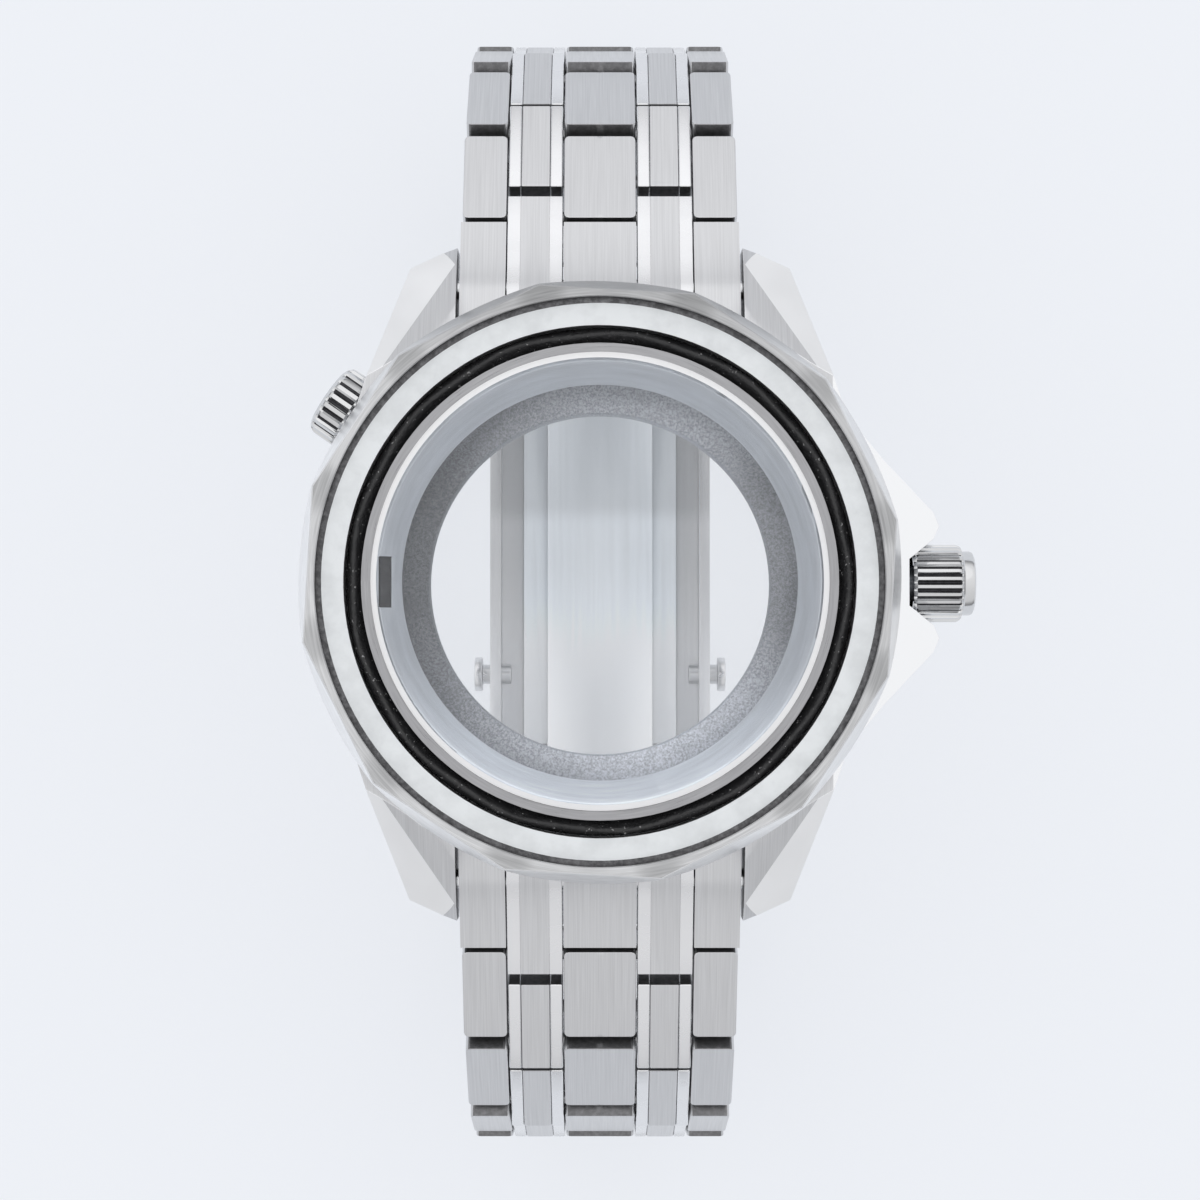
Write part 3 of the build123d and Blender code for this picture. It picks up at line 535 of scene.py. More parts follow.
def patterned(name, base, roughness, metallic=1, point=object_point, texture=(), share=0, stops=(0.3, 0.7),
              shade=None, grades=(), relief=None):
    """A material whose noise makes its colour darker and lighter by a share.

    The noise follows a point, with the texture's scale, detail and roughness. Where roughness is a pair, the
    noise spreads it between the two. shade paints shade into the colour, each of the grades paints light and
    shade along one axis, and relief is how deep in mm the noise goes, and how strongly.
    """
    spans = isinstance(roughness, tuple)
    material, surface = shader(name, base, metallic, sum(roughness) / 2 if spans else roughness)
    tree, inputs = material.node_tree, surface.inputs
    pattern = noise(tree, point(tree), *texture)
    if share:
        color = ramp(tree, pattern, *stops, *shades(base, share))
        color = shade(tree, color) if shade else color
        for grade in grades:
            color = graded(tree, color, *grade)
        tree.links.new(color, inputs["Base Color"])
    if spans:
        tree.links.new(spread(tree, pattern, *roughness), inputs["Roughness"])
    if relief:
        depth, strength = relief
        bump = {"Height": pattern, "Distance": mm(depth), "Strength": strength}
        tree.links.new(new_node(tree, "ShaderNodeBump", bump)["Normal"], inputs["Normal"])
    return material


def along(x, y, z):
    """Object coordinates stretched for streaks."""
    return lambda tree: stretched(tree, object_point(tree), (x, y, z))


def about(fine, long):
    """Coordinates for streaks round the case's axis."""
    return lambda tree: round_point(tree, object_point(tree), fine, long)


def between_scallops(tree, color):
    """The colour made darker halfway between the bezel's scallops: painted shade at the bezel's peaks."""
    sizes = bpy.context.scene.watch_head
    parts = parts_of(tree, object_point(tree))
    turn = math_node(tree, "ARCTAN2", parts["Y"], parts["X"])
    turn = math_node(tree, "SUBTRACT", turn, sizes.scallop_phase + pi / sizes.scallops)
    wave = math_node(tree, "COSINE", math_node(tree, "MULTIPLY", turn, sizes.scallops))
    return scaled(tree, color, spread(tree, wave, 1, 0.74, 0.3, 1, smooth=True))


def satin(name, base):
    """The clasp's smooth satin steel, with painted shade that darkens it toward 12 o'clock."""
    return patterned(name, base, (0.34, 0.46), 0.75, along(2400, 60, 60), share=0.05,
                     grades=(("Y", -9, 4, 1.5, 1.1), ("Y", 5.5, 7.5, 1, 0.78)))


def polished(name, base, roughness):
    """Polished steel with faint wipe marks."""
    return patterned(name, base, (roughness * 0.6, roughness * 1.6), point=along(260, 700, 260))


def shaded_steel(name, base, share):
    """Dark steel mottled by noise: painted shade for grooves, recesses and the ends of links."""
    return patterned(name, base, 0.4, 0.9, texture=(2600, 4, 0.7), share=share, stops=(0.4, 0.7),
                     relief=(0.04, 0.4))


def rubbery(name, base):
    """Black rubber with grease on it and a little dust."""
    material = patterned(name, base, (0.1, 0.5), 0, along(900, 900, 1600), (1, 4, 0.65), relief=(0.25, 0.7))
    tree = material.node_tree
    dust = noise(tree, object_point(tree), 3200, 2, 0.7)
    specks = ramp(tree, dust, 0.66, 0.72, base, (0.35, 0.35, 0.35))
    tree.links.new(specks, tree.nodes["Principled BSDF"].inputs["Base Color"])
    return material


def clear(name, base, opacity):
    """Clear glass that shows the faintest dust."""
    material = patterned(name, base, (0.02, 0.07), 0, texture=(90, 2))
    inputs = material.node_tree.nodes["Principled BSDF"].inputs
    inputs["IOR"].default_value = 1.6
    inputs["Alpha"].default_value = opacity
    return material


WORN = (0.01, 0.35)

# Each finish by its colour's name, as its maker and the maker's settings.
FINISHES = {
    "brushed": (patterned, {"roughness": (0.34, 0.5), "point": along(9000, 160, 160), "share": 0.07,
                            "relief": WORN}),
    "side": (patterned, {"roughness": (0.22, 0.38), "point": along(160, 160, 9000), "share": 0.06,
                         "relief": WORN}),
    "neck": (patterned, {"roughness": (0.22, 0.38), "point": about(9000, 6), "share": 0.12, "relief": WORN}),
    # Its shade and grades are painted shade between the scallops and toward 12 and 3 o'clock.
    "bezel": (patterned, {"roughness": (0.3, 0.46), "point": about(9000, 6), "share": 0.17, "relief": WORN,
                          "shade": between_scallops,
                          "grades": (("Y", 12, 20, 1, 0.7), ("X", 10, 20, 1, 0.86))}),
    # Its grades are painted shade toward 12 and 3 o'clock.
    "facet": (patterned, {"roughness": 0.36, "point": about(5000, 12), "share": 0.06, "relief": (0.01, 0.3),
                          "grades": (("Y", 11, 19, 1, 0.6), ("X", 10, 19, 1, 0.88))}),
    "lug_facet": (patterned, {"metallic": 0.55, "roughness": (0.22, 0.38), "texture": (160, 2),
                              "share": 0.04}),
    "polished": (polished, {"roughness": 0.1}),
    "strips": (polished, {"roughness": 0.24}),
    "knobs": (polished, {"roughness": 0.12}),
    # Its grades are painted light toward 6 and 12 o'clock and painted shade toward 9 o'clock.
    "blasted": (patterned, {"metallic": 0.85, "roughness": 0.5, "texture": (7000, 2), "share": 0.28,
                            "stops": (0.35, 0.65), "relief": (0.02, 0.3),
                            "grades": (("Y", -12, -1, 2.3, 1), ("Y", 6, 11, 1, 1.65),
                                       ("X", -12, 3, 0.6, 1.12))}),
    # Its grade is painted light toward 6 o'clock.
    "lacquer": (patterned, {"metallic": 0.55, "roughness": 0.3, "point": about(2600, 3), "share": 0.07,
                            "stops": (0.35, 0.65), "grades": (("Y", -15, -4, 1.6, 1),)}),
    "rubber": (rubbery, {}),
    "adhesive": (patterned, {"metallic": 0, "roughness": 0.5, "texture": (500, 4, 0.6), "share": 0.06,
                             "stops": (0.35, 0.6), "relief": (0.04, 0.3)}),
    "glass": (clear, {"opacity": 0.05}),
    # A painted highlight: near-opaque white on the crystal's chamfer and rim.
    "glass_edge": (clear, {"opacity": 0.95}),
    # Painted shade in the bezel's recess.
    "grime": (shaded_steel, {"share": 0.4}),
    # Painted shade in the knobs' flute bottoms and the ring's key slot.
    "groove": (shaded_steel, {"share": 0.3}),
    # Painted shade on the links' ends that face the next row.
    "gap": (shaded_steel, {"share": 0.2}),
    # The clasp's satin steel and cover both carry satin()'s painted shade toward 12 o'clock.
    "satin": (satin, {}),
    "cover": (satin, {}),
}
MADE = {}


def finish_named(name):
    """A finish, made when it is first asked for in its present colour."""
    base = tuple(getattr(bpy.context.scene.watch_colours, name))
    if (name, base) not in MADE:
        maker, settings = FINISHES[name]
        MADE[name, base] = maker(name, base, **settings)
    return MADE[name, base]


def finishes(*names):
    return [finish_named(name) for name in names]


def dress(node, name):
    """A CAD node that keeps its shape gets a finish."""
    mesh = frame["nodes"][node].data
    mesh.materials.clear()
    mesh.materials.append(finish_named(name))


# Case pieces

# Where a lug's polished facet begins, in the quarter between 12 and 3 o'clock, and the way across its edge.
LUG_TIP = Vector((mm(10.23), mm(22.1), 0))
LUG_SIDE = Vector((0.838, 0.545, 0))
# Parts of a face's normal: the least upward for a top, the most for a side, and the least for a level flat.
UPWARD = 0.6
LEVEL = 0.3
STRAIGHT = 0.9
# The least that a lug facet's normal leans along X and along Y, and the most that the case's deck leans.
LUG_LEAN = (0.15, 0.3)
DECK_LEAN = 0.05
# The key slot's reach inward from the ring's outer edge, and the height of its top.
KEY_SLOT = (mm(0.1), mm(1.27))
KEY_SLOT_TOP = mm(1.69)
# The painted shade in the bezel's recess reaches this far past the recess's wall.
RECESS_SHADE_SPARE = mm(0.01)
# Radius in mm that stands in for the axis, where a knob's sectors meet.
TINY = 0.01


def on_lug_facet(center, normal, start):
    """Whether a face is the sloping facet on top of a lug."""
    leans = abs(normal.x) > LUG_LEAN[0] and abs(normal.y) > LUG_LEAN[1]
    return normal.z > UPWARD and leans and abs(center.y) > start


def split(bm, parts, point, normal):
    bmesh.ops.bisect_plane(bm, geom=parts, dist=WELD, plane_co=point, plane_no=normal)


def case_mesh(sizes):
    """The case's mesh, split where the polished crown guards and lug facets begin."""
    bm = softened_bmesh("mid_case", sizes.edge)
    split(bm, [*bm.verts, *bm.edges, *bm.faces], (sizes.guard_root, 0, 0), (1, 0, 0))
    for x_side in (-1, 1):
        for y_side in (-1, 1):
            faces = [face for face in bm.faces
                     if on_lug_facet(face.calc_center_median(), face.normal, sizes.lug_start)
                     and face.normal.x * x_side > 0 and face.normal.y * y_side > 0]
            around = {part for face in faces for part in (*face.verts, *face.edges)}
            quarter = Vector((x_side, y_side, 0))
            split(bm, [*faces, *around], LUG_TIP * quarter, LUG_SIDE * quarter)
    return built(bm, "mid_case")


class WATCHCASE_OT_middle(bpy.types.Operator):
    """Builds the case middle: brushed tops and sides, polished lug facets and crown guards, a turned neck."""
    bl_idname = "watchcase.middle"
    bl_label = "Case middle"

    def execute(self, context):
        sizes = context.scene.watch_head
        brushed, polished_top, neck, facet, side = range(5)

        def finish_of(face, place):
            x, y, z = face.center
            if z > sizes.neck_z:
                return neck
            if on_lug_facet(face.center, face.normal, sizes.lug_start):
                out = Vector((abs(x), abs(y), 0)) - LUG_TIP
                return facet if out.dot(LUG_SIDE) > 0 else brushed
            if abs(face.normal.z) < LEVEL:
                return side
            deck = face.normal.z > UPWARD and abs(face.normal.x) < DECK_LEAN
            return brushed if deck and (x < sizes.guard_root or abs(y) > sizes.guard_half) else polished_top

        piece("case_middle", case_mesh(sizes), "case",
              finishes("brushed", "polished", "neck", "lug_facet", "side"), ("mid_case",),
              finish_of=finish_of, flat=True)
        return {"FINISHED"}


class WATCHCASE_OT_bezel(bpy.types.Operator):
    """Builds the turning bezel from one scallop, repeated round the axis."""
    bl_idname = "watchcase.bezel"
    bl_label = "Bezel"

    def execute(self, context):
        sizes = context.scene.watch_head
        low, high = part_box("bezel")
        outer = high[0] + sizes.bezel_grip
        edge = sizes.bezel_edge
        foot_z = sizes.scallop_low
        lean = sizes.scallop_in / (high[2] - foot_z)
        recess_z = high[2] - sizes.bezel_recess_depth
        names = ("bezel", "facet", "grime")
        facet_places = range(4, 7)

        def profile_at(turn):
            cut_z = foot_z + outer * (1 - cos(turn)) / lean
            top_r = (outer - sizes.scallop_in) / cos(turn)
            return [
                (sizes.bezel_bore, low[2] + edge), (sizes.bezel_bore + edge, low[2]), (outer - edge, low[2]),
                (outer, low[2] + edge), (outer, cut_z - edge), (outer - edge * lean, cut_z + edge),
                (top_r + edge * lean, high[2] - edge), (top_r - edge, high[2]),
                (sizes.bezel_recess + edge, high[2]), (sizes.bezel_recess, high[2] - edge),
                (sizes.bezel_recess, recess_z), (sizes.bezel_bore + edge, recess_z),
                (sizes.bezel_bore, recess_z - edge),
            ]

        # Faces in the recess get painted shade.
        def finish_of(face, place):
            x, y, z = face.center
            in_recess = hypot(x, y) < sizes.bezel_recess + RECESS_SHADE_SPARE and z > recess_z - edge
            return names.index("grime") if in_recess else place

        steps = 16
        mesh = sector(profile_at, sizes.scallops, steps, "bezel_scallop",
                      lambda step, place: place in facet_places)
        mesh = repeated(mesh, sizes.scallops, "bezel", "facet")
        mesh.transform(Matrix.Rotation(sizes.scallop_phase, 4, "Z"))
        piece("bezel_ring", mesh, "bezel", finishes(*names), ("bezel",), smooth=radians(14),
              finish_of=finish_of)
        dress("bezel_adhesive_ring", "adhesive")
        return {"FINISHED"}


class WATCHCASE_OT_gasket(bpy.types.Operator):
    """Builds the rubber gasket, rippled where it was squeezed."""
    bl_idname = "watchcase.gasket"
    bl_label = "Bezel gasket"

    def execute(self, context):
        sizes = context.scene.watch_head
        low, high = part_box("bezel_gasket")
        outer = high[0]
        inner = sizes.bezel_bore - sizes.gasket_overlap
        middle_z = (low[2] + high[2]) / 2

        def profile_at(turn):
            sway = sizes.gasket_wave * cos(sizes.gasket_waves * turn)
            crest = (inner + outer) / 2 + mm(0.1) + sway
            return [
                (inner, low[2]), (outer, low[2]), (outer, middle_z), (crest + mm(0.25), high[2] - mm(0.12)),
                (crest, high[2]), (crest - mm(0.2), high[2] - mm(0.16)), (inner, middle_z - mm(0.1)),
            ]

        steps = 14
        mesh = sector(profile_at, sizes.gasket_waves, steps, "gasket_wave")
        mesh = repeated(mesh, sizes.gasket_waves, "rubber", "rubber")
        piece("rubber_gasket", mesh, "case", finishes("rubber"), ("bezel_gasket",),
              smooth=radians(70))
        return {"FINISHED"}


class WATCHCASE_OT_crystal(bpy.types.Operator):
    """Builds the clear crystal, with its chamfer, and the ring under it."""
    bl_idname = "watchcase.crystal"
    bl_label = "Crystal and its ring"

    def execute(self, context):
        sizes = context.scene.watch_head
        crystal = disc("crystal", sizes.crystal_edge, sizes.crystal_chamfer, steps=180)
        # The chamfer and rim faces get a near-opaque white painted highlight.
        piece("clear_crystal", crystal, "case", finishes("glass", "glass_edge"), ("crystal",),
              finish_of=lambda face, place: int(abs(face.normal.z) < STRAIGHT))
        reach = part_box("rehaut_ring")[1][0]

        # Faces in the ring's key slot get painted shade.
        def in_key_slot(face, place):
            x, y, z = face.center
            near, far = KEY_SLOT
            return int(abs(y) < sizes.key_half and near < x + reach < far and z < KEY_SLOT_TOP)

        piece("rehaut", softened("rehaut_ring", sizes.ring_edge), "case",
              finishes("lacquer", "groove"), ("rehaut_ring",), finish_of=in_key_slot)
        return {"FINISHED"}


class WATCHCASE_OT_back(bpy.types.Operator):
    """Builds the screwed case back and its clear window."""
    bl_idname = "watchcase.back"
    bl_label = "Case back"

    def execute(self, context):
        sizes = context.scene.watch_head
        piece("back_ring", softened("case_back_ring", sizes.back_edge), "case_back",
              finishes("blasted"), ("case_back_ring",))
        window = disc("case_back_glass", sizes.window_chamfer, sizes.window_chamfer, steps=160)
        piece("back_window", window, "case_back", finishes("glass"), ("case_back_glass",))
        return {"FINISHED"}


def disc(node, low_edge, high_edge, steps):
    """A round disc the size of a CAD node, with a bevel round its underside and its top."""
    low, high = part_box(node)
    r = high[0]
    return turned([(0, low[2]), (r - low_edge, low[2]), (r, low[2] + low_edge), (r, high[2] - high_edge),
                   (r - high_edge, high[2]), (0, high[2])], steps, node)


def repeated(mesh, count, first, second):
    """A whole ring from one of its sectors, with a finish and a second one on its marked faces."""
    finish, second_finish = finishes(first, second)
    return grown(mesh, round_tree(), {"Count": count, "Finish": finish, "Second finish": second_finish})


def fluted_knob(name, count, depth, dark, stations):
    """A fluted knob about Z from one flute, whose bottom gets painted shade on a share of its width.

    Stations are (height in mm, radius in mm, share of the flute's depth).
    """
    half = pi / count
    steps = 16
    width = 0.6
    roundness = 0.7

    def profile_at(turn):
        groove = cos(pi / 2 * min(1, abs(turn) / (half * width))) ** roundness
        return [(mm(r) - depth * share * groove, mm(z)) for z, r, share in stations]

    def in_groove(step, place):
        shares = stations[place][2], stations[(place + 1) % len(stations)][2]
        return abs(step + 0.5 - steps / 2) < steps * dark and min(shares) > 0.5

    return repeated(sector(profile_at, count, steps, name, in_groove), count, "knobs", "groove")


class WATCHCASE_OT_crown(bpy.types.Operator):
    """Builds the fluted crown, with its tube and stem."""
    bl_idname = "watchcase.crown"
    bl_label = "Crown"

    def execute(self, context):
        sizes = context.scene.watch_head
        low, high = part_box("crown")
        unfluted = mm(0.8)
        start, rim, end, r = (size / mm(1) for size in (low[0], high[0] - unfluted, high[0] + sizes.crown_cap,
                                                        sizes.crown_radius))
        stations = [
            (start + 2.2, 0.68, 0), (start + 2.2, 2.0, 0), (start, 2.0, 0), (start, r - 0.25, 0.2),
            (start + 0.22, r, 1), (rim - 0.1, r, 1), (rim + 0.12, r - 0.08, 0.7), (rim + 0.24, r - 0.22, 0.3),
            (rim + 0.28, r - 0.4, 0), (rim + 0.36, r - 0.46, 0), (end - 0.32, r - 0.46, 0),
            (end - 0.14, r - 0.52, 0), (end - 0.04, r - 0.7, 0), (end, r - 1.1, 0), (end, TINY, 0),
            (start + 3.0, TINY, 0), (start + 3.0, 0.68, 0),
        ]
        # Share of a flute's width whose bottom gets painted shade.
        dark = 0.17
        mesh = fluted_knob("crown_flute", sizes.crown_flutes, sizes.flute_depth, dark, stations)
        mesh.transform(Matrix.Translation((0, 0, (low[2] + high[2]) / 2)) @ Matrix.Rotation(pi / 2, 4, "Y"))
        piece("crown_knob", mesh, "crown", finishes("knobs", "groove"), ("crown",))
        dress("crown_tube", "blasted")
        dress("winding_stem", "polished")
        return {"FINISHED"}


class WATCHCASE_OT_valve(bpy.types.Operator):
    """Builds the screw-down valve's fluted knob and its stem."""
    bl_idname = "watchcase.valve"
    bl_label = "Valve"

    def execute(self, context):
        sizes = context.scene.watch_head
        start, end, r = (size / mm(1) for size in (sizes.valve_start, sizes.valve_end, sizes.valve_radius))
        stations = [
            (start + 0.8, TINY, 0), (start + 0.8, 0.96, 0), (start, 0.96, 0), (start, r - 0.2, 0.2),
            (start + 0.15, r, 1), (end - 0.62, r, 1), (end - 0.42, r - 0.07, 0.6),
            (end - 0.26, r - 0.2, 0.15), (end - 0.16, r - 0.32, 0), (end - 0.06, r - 0.52, 0),
            (end, r - 1.1, 0), (end, TINY, 0),
        ]
        # Share of a flute's width whose bottom gets painted shade.
        dark = 0.2
        mesh = fluted_knob("valve_flute", sizes.valve_flutes, sizes.flute_depth, dark, stations)
        joint = JOINTS["valve_turn"]
        turn = Vector(joint["axis"]).to_track_quat("Z", "Y").to_matrix().to_4x4()
        mesh.transform(Matrix.Translation((0, 0, joint["pos_m"][2])) @ turn)
        piece("valve_head", mesh, "valve_knob", finishes("knobs", "groove"),
              ("valve_knob",))
        dress("valve_stem", "blasted")
        return {"FINISHED"}


# Bracelet pieces

def pins_of(side_name, count, last):
    """The pins of one half as (distance along Y from the middle, height), with the last one added."""
    places = [JOINTS[f"pin_{side_name}_{number + 1}"]["pos_m"] for number in range(count)]
    return [(abs(y), z) for x, y, z in places] + [last]


def slopes_of(pins):
    return [atan2(a[1] - b[1], b[0] - a[0]) for a, b in zip(pins, pins[1:])]


def link_matrix(side, pin, slope):
    """From a link's own axes, X along it and Y out of its outer face, to the frame's."""
    along_it = Vector((0, side * cos(slope), -sin(slope)))
    across = Vector((side, 0, 0))
    turn = Matrix((along_it, across.cross(along_it), across)).transposed().to_4x4()
    return Matrix.Translation((0, side * pin[0], pin[1])) @ turn


def columns(sizes, outer_x):
    """Each column as (near, width, whether it belongs to a middle group, whether it is a strip)."""
    strip_in = sizes.centre / 2 + sizes.gap
    mid_in = strip_in + sizes.strip
    mid_out = mid_in + sizes.middle
    outer_in = mid_out + sizes.strip + sizes.gap
    return [
        (0, sizes.centre / 2, False, False),
        (outer_in, outer_x - outer_in, False, False),
        (strip_in, sizes.strip, True, True),
        (mid_out, sizes.strip, True, True),
        (mid_in, sizes.middle, True, False),
    ]


def in_gap(normal):
    """Whether a face looks at the next row, in the link's own axes, and so gets painted shade."""
    least_out, most_out, most_across = -0.8, 0.5, 0.5
    return least_out < normal.y < most_out and abs(normal.z) < most_across


def bracelet_meshes(sizes, tree, outer_x, piece_outline, group_outline, strip_edge):
    """The brushed and the polished mesh of one link in the link's own axes."""
    brushed, strips = [], []
    for near, width, in_group, is_strip in columns(sizes, outer_x):
        finish = finish_named("strips" if is_strip else "brushed")
        outline = group_outline if in_group else piece_outline
        mesh = grown(prism(outline, "column"), tree, {"Near": near, "Width": width, "Finish": finish})
        bm = opened(mesh)
        if near == 0:
            drop_middle_walls(bm)
        if not in_group:
            round_corners(bm, sizes.corner)
        weld(bm)
        edge, segments = (strip_edge, 4) if is_strip else (sizes.edge, 2)
        bevel(bm, sharp_edges(bm, COLUMN_SHARP), edge, segments)
        mesh = built(bm, "column")
        for face in mesh.polygons:
            # Faces toward the next row get painted shade.
            face.material_index = int(in_gap(face.normal))
        (strips if is_strip else brushed).append(mesh)
    return joined(brushed, "brushed"), joined(strips, "strips")


def round_corners(bm, radius):
    """Rounds the four corners of a piece, as seen on its outer face."""
    upright = 0.99
    corners = [edge for edge in bm.edges if edge.calc_length() > radius
               and abs((edge.verts[0].co - edge.verts[1].co).normalized().y) > upright]
    bevel(bm, corners, radius, segments=3)


def drop_middle_walls(bm):
    """Drops the two inner walls of the centre piece, which grows from the middle to both sides."""
    walls = [face for face in bm.faces if all(abs(vert.co.z) < WELD for vert in face.verts)]
    bmesh.ops.delete(bm, geom=walls, context="FACES")
    weld(bm)


def link_outlines(sizes, pitch, toe, gap, bend, next_bend):
    """The outlines of the outer and centre pieces and of the middle groups.

    The pieces end a gap before the next row, and the groups end a toe past the next pin.
    """
    half = sizes.thick / 2
    cut = half * tan(bend + sizes.bend_spare)
    end = pitch - sizes.heel - gap
    outer = [(-sizes.heel, 0), (cut - sizes.heel, -half), (end, -half), (end, half), (-sizes.heel, half)]
    cut = half * tan(next_bend + sizes.bend_spare)
    start, end = sizes.toe + sizes.row_gap, pitch + toe
    group = [(start, -half), (end - cut, -half), (end, 0), (end, half), (start, half)]
    return outer, group


def pin_mesh(radius, half):
    """A round pin about Z with bevelled ends."""
    edge = radius * 0.2
    steps = 24
    return turned([(0, -half), (radius - edge, -half), (radius, edge - half), (radius, half - edge),
                   (radius - edge, half), (0, half)], steps, "pin")


def level_pin(radius, half, middle):
    """A round pin along X."""
    mesh = pin_mesh(radius, half)
    mesh.transform(Matrix.Translation(middle) @ Matrix.Rotation(pi / 2, 4, "Y"))
    return mesh


def bracelet_pieces(node, body, brushed, strips):
    piece(f"{node}_brushed", brushed, body, finishes("brushed", "gap"), (node,), flat=True)
    piece(f"{node}_strips", strips, body, finishes("strips", "gap"))


class WATCHCASE_OT_links(bpy.types.Operator):
    """Builds every link of both halves: brushed pieces with polished strips."""
    bl_idname = "watchcase.links"
    bl_label = "Links"

    def execute(self, context):
        sizes = context.scene.watch_bracelet
        tree = across_tree()
        low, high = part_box("bracelet_end_pin")
        end_12 = ((low[1] + high[1]) / 2, (low[2] + high[2]) / 2)
        x, y, z = JOINTS["clasp_swing"]["pos_m"]
        for name, side, count, last in (("12", 1, LINKS_12, end_12), ("6", -1, LINKS_6, (abs(y), z))):
            pins = pins_of(name, count, last)
            slopes = slopes_of(pins)
            first_bend = radians(JOINTS[f"pin_{name}_1"]["range_deg"][1])
            bends = [first_bend, *(b - a for a, b in zip(slopes, slopes[1:])), pi - slopes[-1]]
            for number, slope in enumerate(slopes):
                node = f"link_{name}_{number + 1}"
                in_clasp = node == f"link_6_{LINKS_6}"
                (y, z), (next_y, next_z) = pins[number:number + 2]
                toe, gap = (sizes.clasp_toe, sizes.clasp_gap) if in_clasp else (sizes.toe, sizes.row_gap)
                pitch = hypot(next_y - y, next_z - z)
                outlines = link_outlines(sizes, pitch, toe, gap, *bends[number:number + 2])
                outer_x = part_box(node)[1][0]
                brushed, strips = bracelet_meshes(sizes, tree, outer_x, *outlines, sizes.strip_edge)
                brushed = joined([brushed, pin_mesh(sizes.pin, outer_x - sizes.pin_recess)], node)
                for mesh in (brushed, strips):
                    mesh.transform(link_matrix(side, pins[number], slope))
                bracelet_pieces(node, node, brushed, strips)
        return {"FINISHED"}


def fit_to_wall(point, wall):
    """Moves a point of an end link's back, in its own axes, onto the case's round wall."""
    start, fade = mm(1.2), mm(1)
    share = max(0, min(1, (wall + start - point.x) / fade))
    point.x += share * ((wall ** 2 - point.z ** 2) ** 0.5 - wall)


def arc_points(start, end, slope, steps):
    """Points from start to end on a curve that begins level and ends at a slope downward."""
    back = min((start[1] - end[1]) / sin(slope), (end[0] - start[0]) / cos(slope))
    control = (end[0] - back * cos(slope), end[1] + back * sin(slope))
    shares = [step / steps for step in range(steps + 1)]
    return [tuple((1 - t) ** 2 * a + 2 * t * (1 - t) * c + t ** 2 * b for a, c, b in zip(start, control, end))
            for t in shares]


class WATCHCASE_OT_end_links(bpy.types.Operator):
    """Builds the two end links between the lugs, in columns like the links, and the bars behind them."""
    bl_idname = "watchcase.end_links"
    bl_label = "End links"

    def execute(self, context):
        sizes = context.scene.watch_bracelet
        tree = across_tree()
        plain, group = self.outlines(sizes)
        for name, side in (("12", 1), ("6", -1)):
            node = f"end_link_{name}"
            outer_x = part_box(node)[1][0]
            meshes = bracelet_meshes(sizes, tree, outer_x, plain, group, sizes.end_strip_edge)
            for mesh in meshes:
                for vert in mesh.vertices:
                    fit_to_wall(vert.co, sizes.wall)
                mesh.transform(Matrix(((0, 0, side, 0), (side, 0, 0, 0), (0, 1, 0, 0), (0, 0, 0, 1))))
            bracelet_pieces(node, "case", *meshes)
        low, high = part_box("lug_spring_bars")
        for number, side in enumerate((-1, 1)):
            middle = (0, side * (high[1] - sizes.lug_bar), (low[2] + high[2]) / 2)
            bar = level_pin(sizes.lug_bar, high[0], middle)
            piece(f"lug_bar_{number + 1}", bar, "case", finishes("polished"),
                  ("lug_spring_bars",) if number == 0 else ())
        return {"FINISHED"}

    def outlines(self, sizes):
        """The outlines of the pieces and of the middle groups, as (distance along Y, height)."""
        (pin_y, pin_z), after, *_ = pins_of("12", 2, None)
        bend = radians(JOINTS["pin_12_1"]["range_deg"][1])
        slope = slopes_of([(pin_y, pin_z), after])[0] - bend
        half = sizes.thick / 2
        back = sizes.heel + sizes.row_gap

        def from_pin(x, y):
            """A point of the link's own axes as (distance along Y, height)."""
            return (pin_y + x * cos(slope) + y * sin(slope), pin_z - x * sin(slope) + y * cos(slope))

        steps = 14
        curve = arc_points((sizes.wall, -sizes.end_top), from_pin(-back, half), slope, steps)[::-1]
        low = [(sizes.wall, -sizes.end_low), (sizes.end_front, -sizes.end_low), from_pin(-back, -half)]
        cut = half * tan(bend + sizes.bend_spare)
        end = sizes.end_toe
        toe = [from_pin(end - cut, -half), from_pin(end, 0), from_pin(end, half)]
        return low + curve, low + toe + curve


def round_pin(node, body, radius):
    """A round pin along X in place of a CAD pin with few sides."""
    low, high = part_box(node)
    middle = [(a + b) / 2 for a, b in zip(low, high)]
    piece(f"{node}_round", level_pin(radius, (high[0] - low[0]) / 2, middle), body,
          finishes("polished"), (node,))


class WATCHCASE_OT_clasp(bpy.types.Operator):
    """Builds the folding clasp: cover, blades, pins and push buttons."""
    bl_idname = "watchcase.clasp"
    bl_label = "Folding clasp"

    def execute(self, context):
        sizes = context.scene.watch_bracelet
        inside, wall, under = range(3)

        def finish_of(face, place):
            if face.normal.z < -STRAIGHT:
                return under
            return wall if face.normal.z < STRAIGHT else inside

        cover = softened("clasp_cover", sizes.cover_edge, segments=3)
        piece("clasp_shell", cover, "clasp_cover", finishes("cover", "side", "brushed"),
              ("clasp_cover",), finish_of=finish_of)
        for node in ("clasp_outer_blade", "clasp_inner_blade"):
            blade = softened(node, sizes.blade_edge)
            piece(f"{node}_plate", blade, node, finishes("satin"), (node,))
        for node in ("clasp_button_3", "clasp_button_9"):
            button = softened(node, sizes.button_edge)
            piece(f"{node}_cap", button, node, finishes("side"), (node,))
        round_pin("clasp_spring_bar", "clasp_cover", sizes.pin)
        round_pin("clasp_cover_hinge_pin", "clasp_cover", sizes.hinge_pin)
        round_pin("clasp_blade_hinge_pin", "clasp_outer_blade", sizes.hinge_pin)
        round_pin("bracelet_end_pin", "link_12_6", sizes.pin)
        return {"FINISHED"}


# Stage

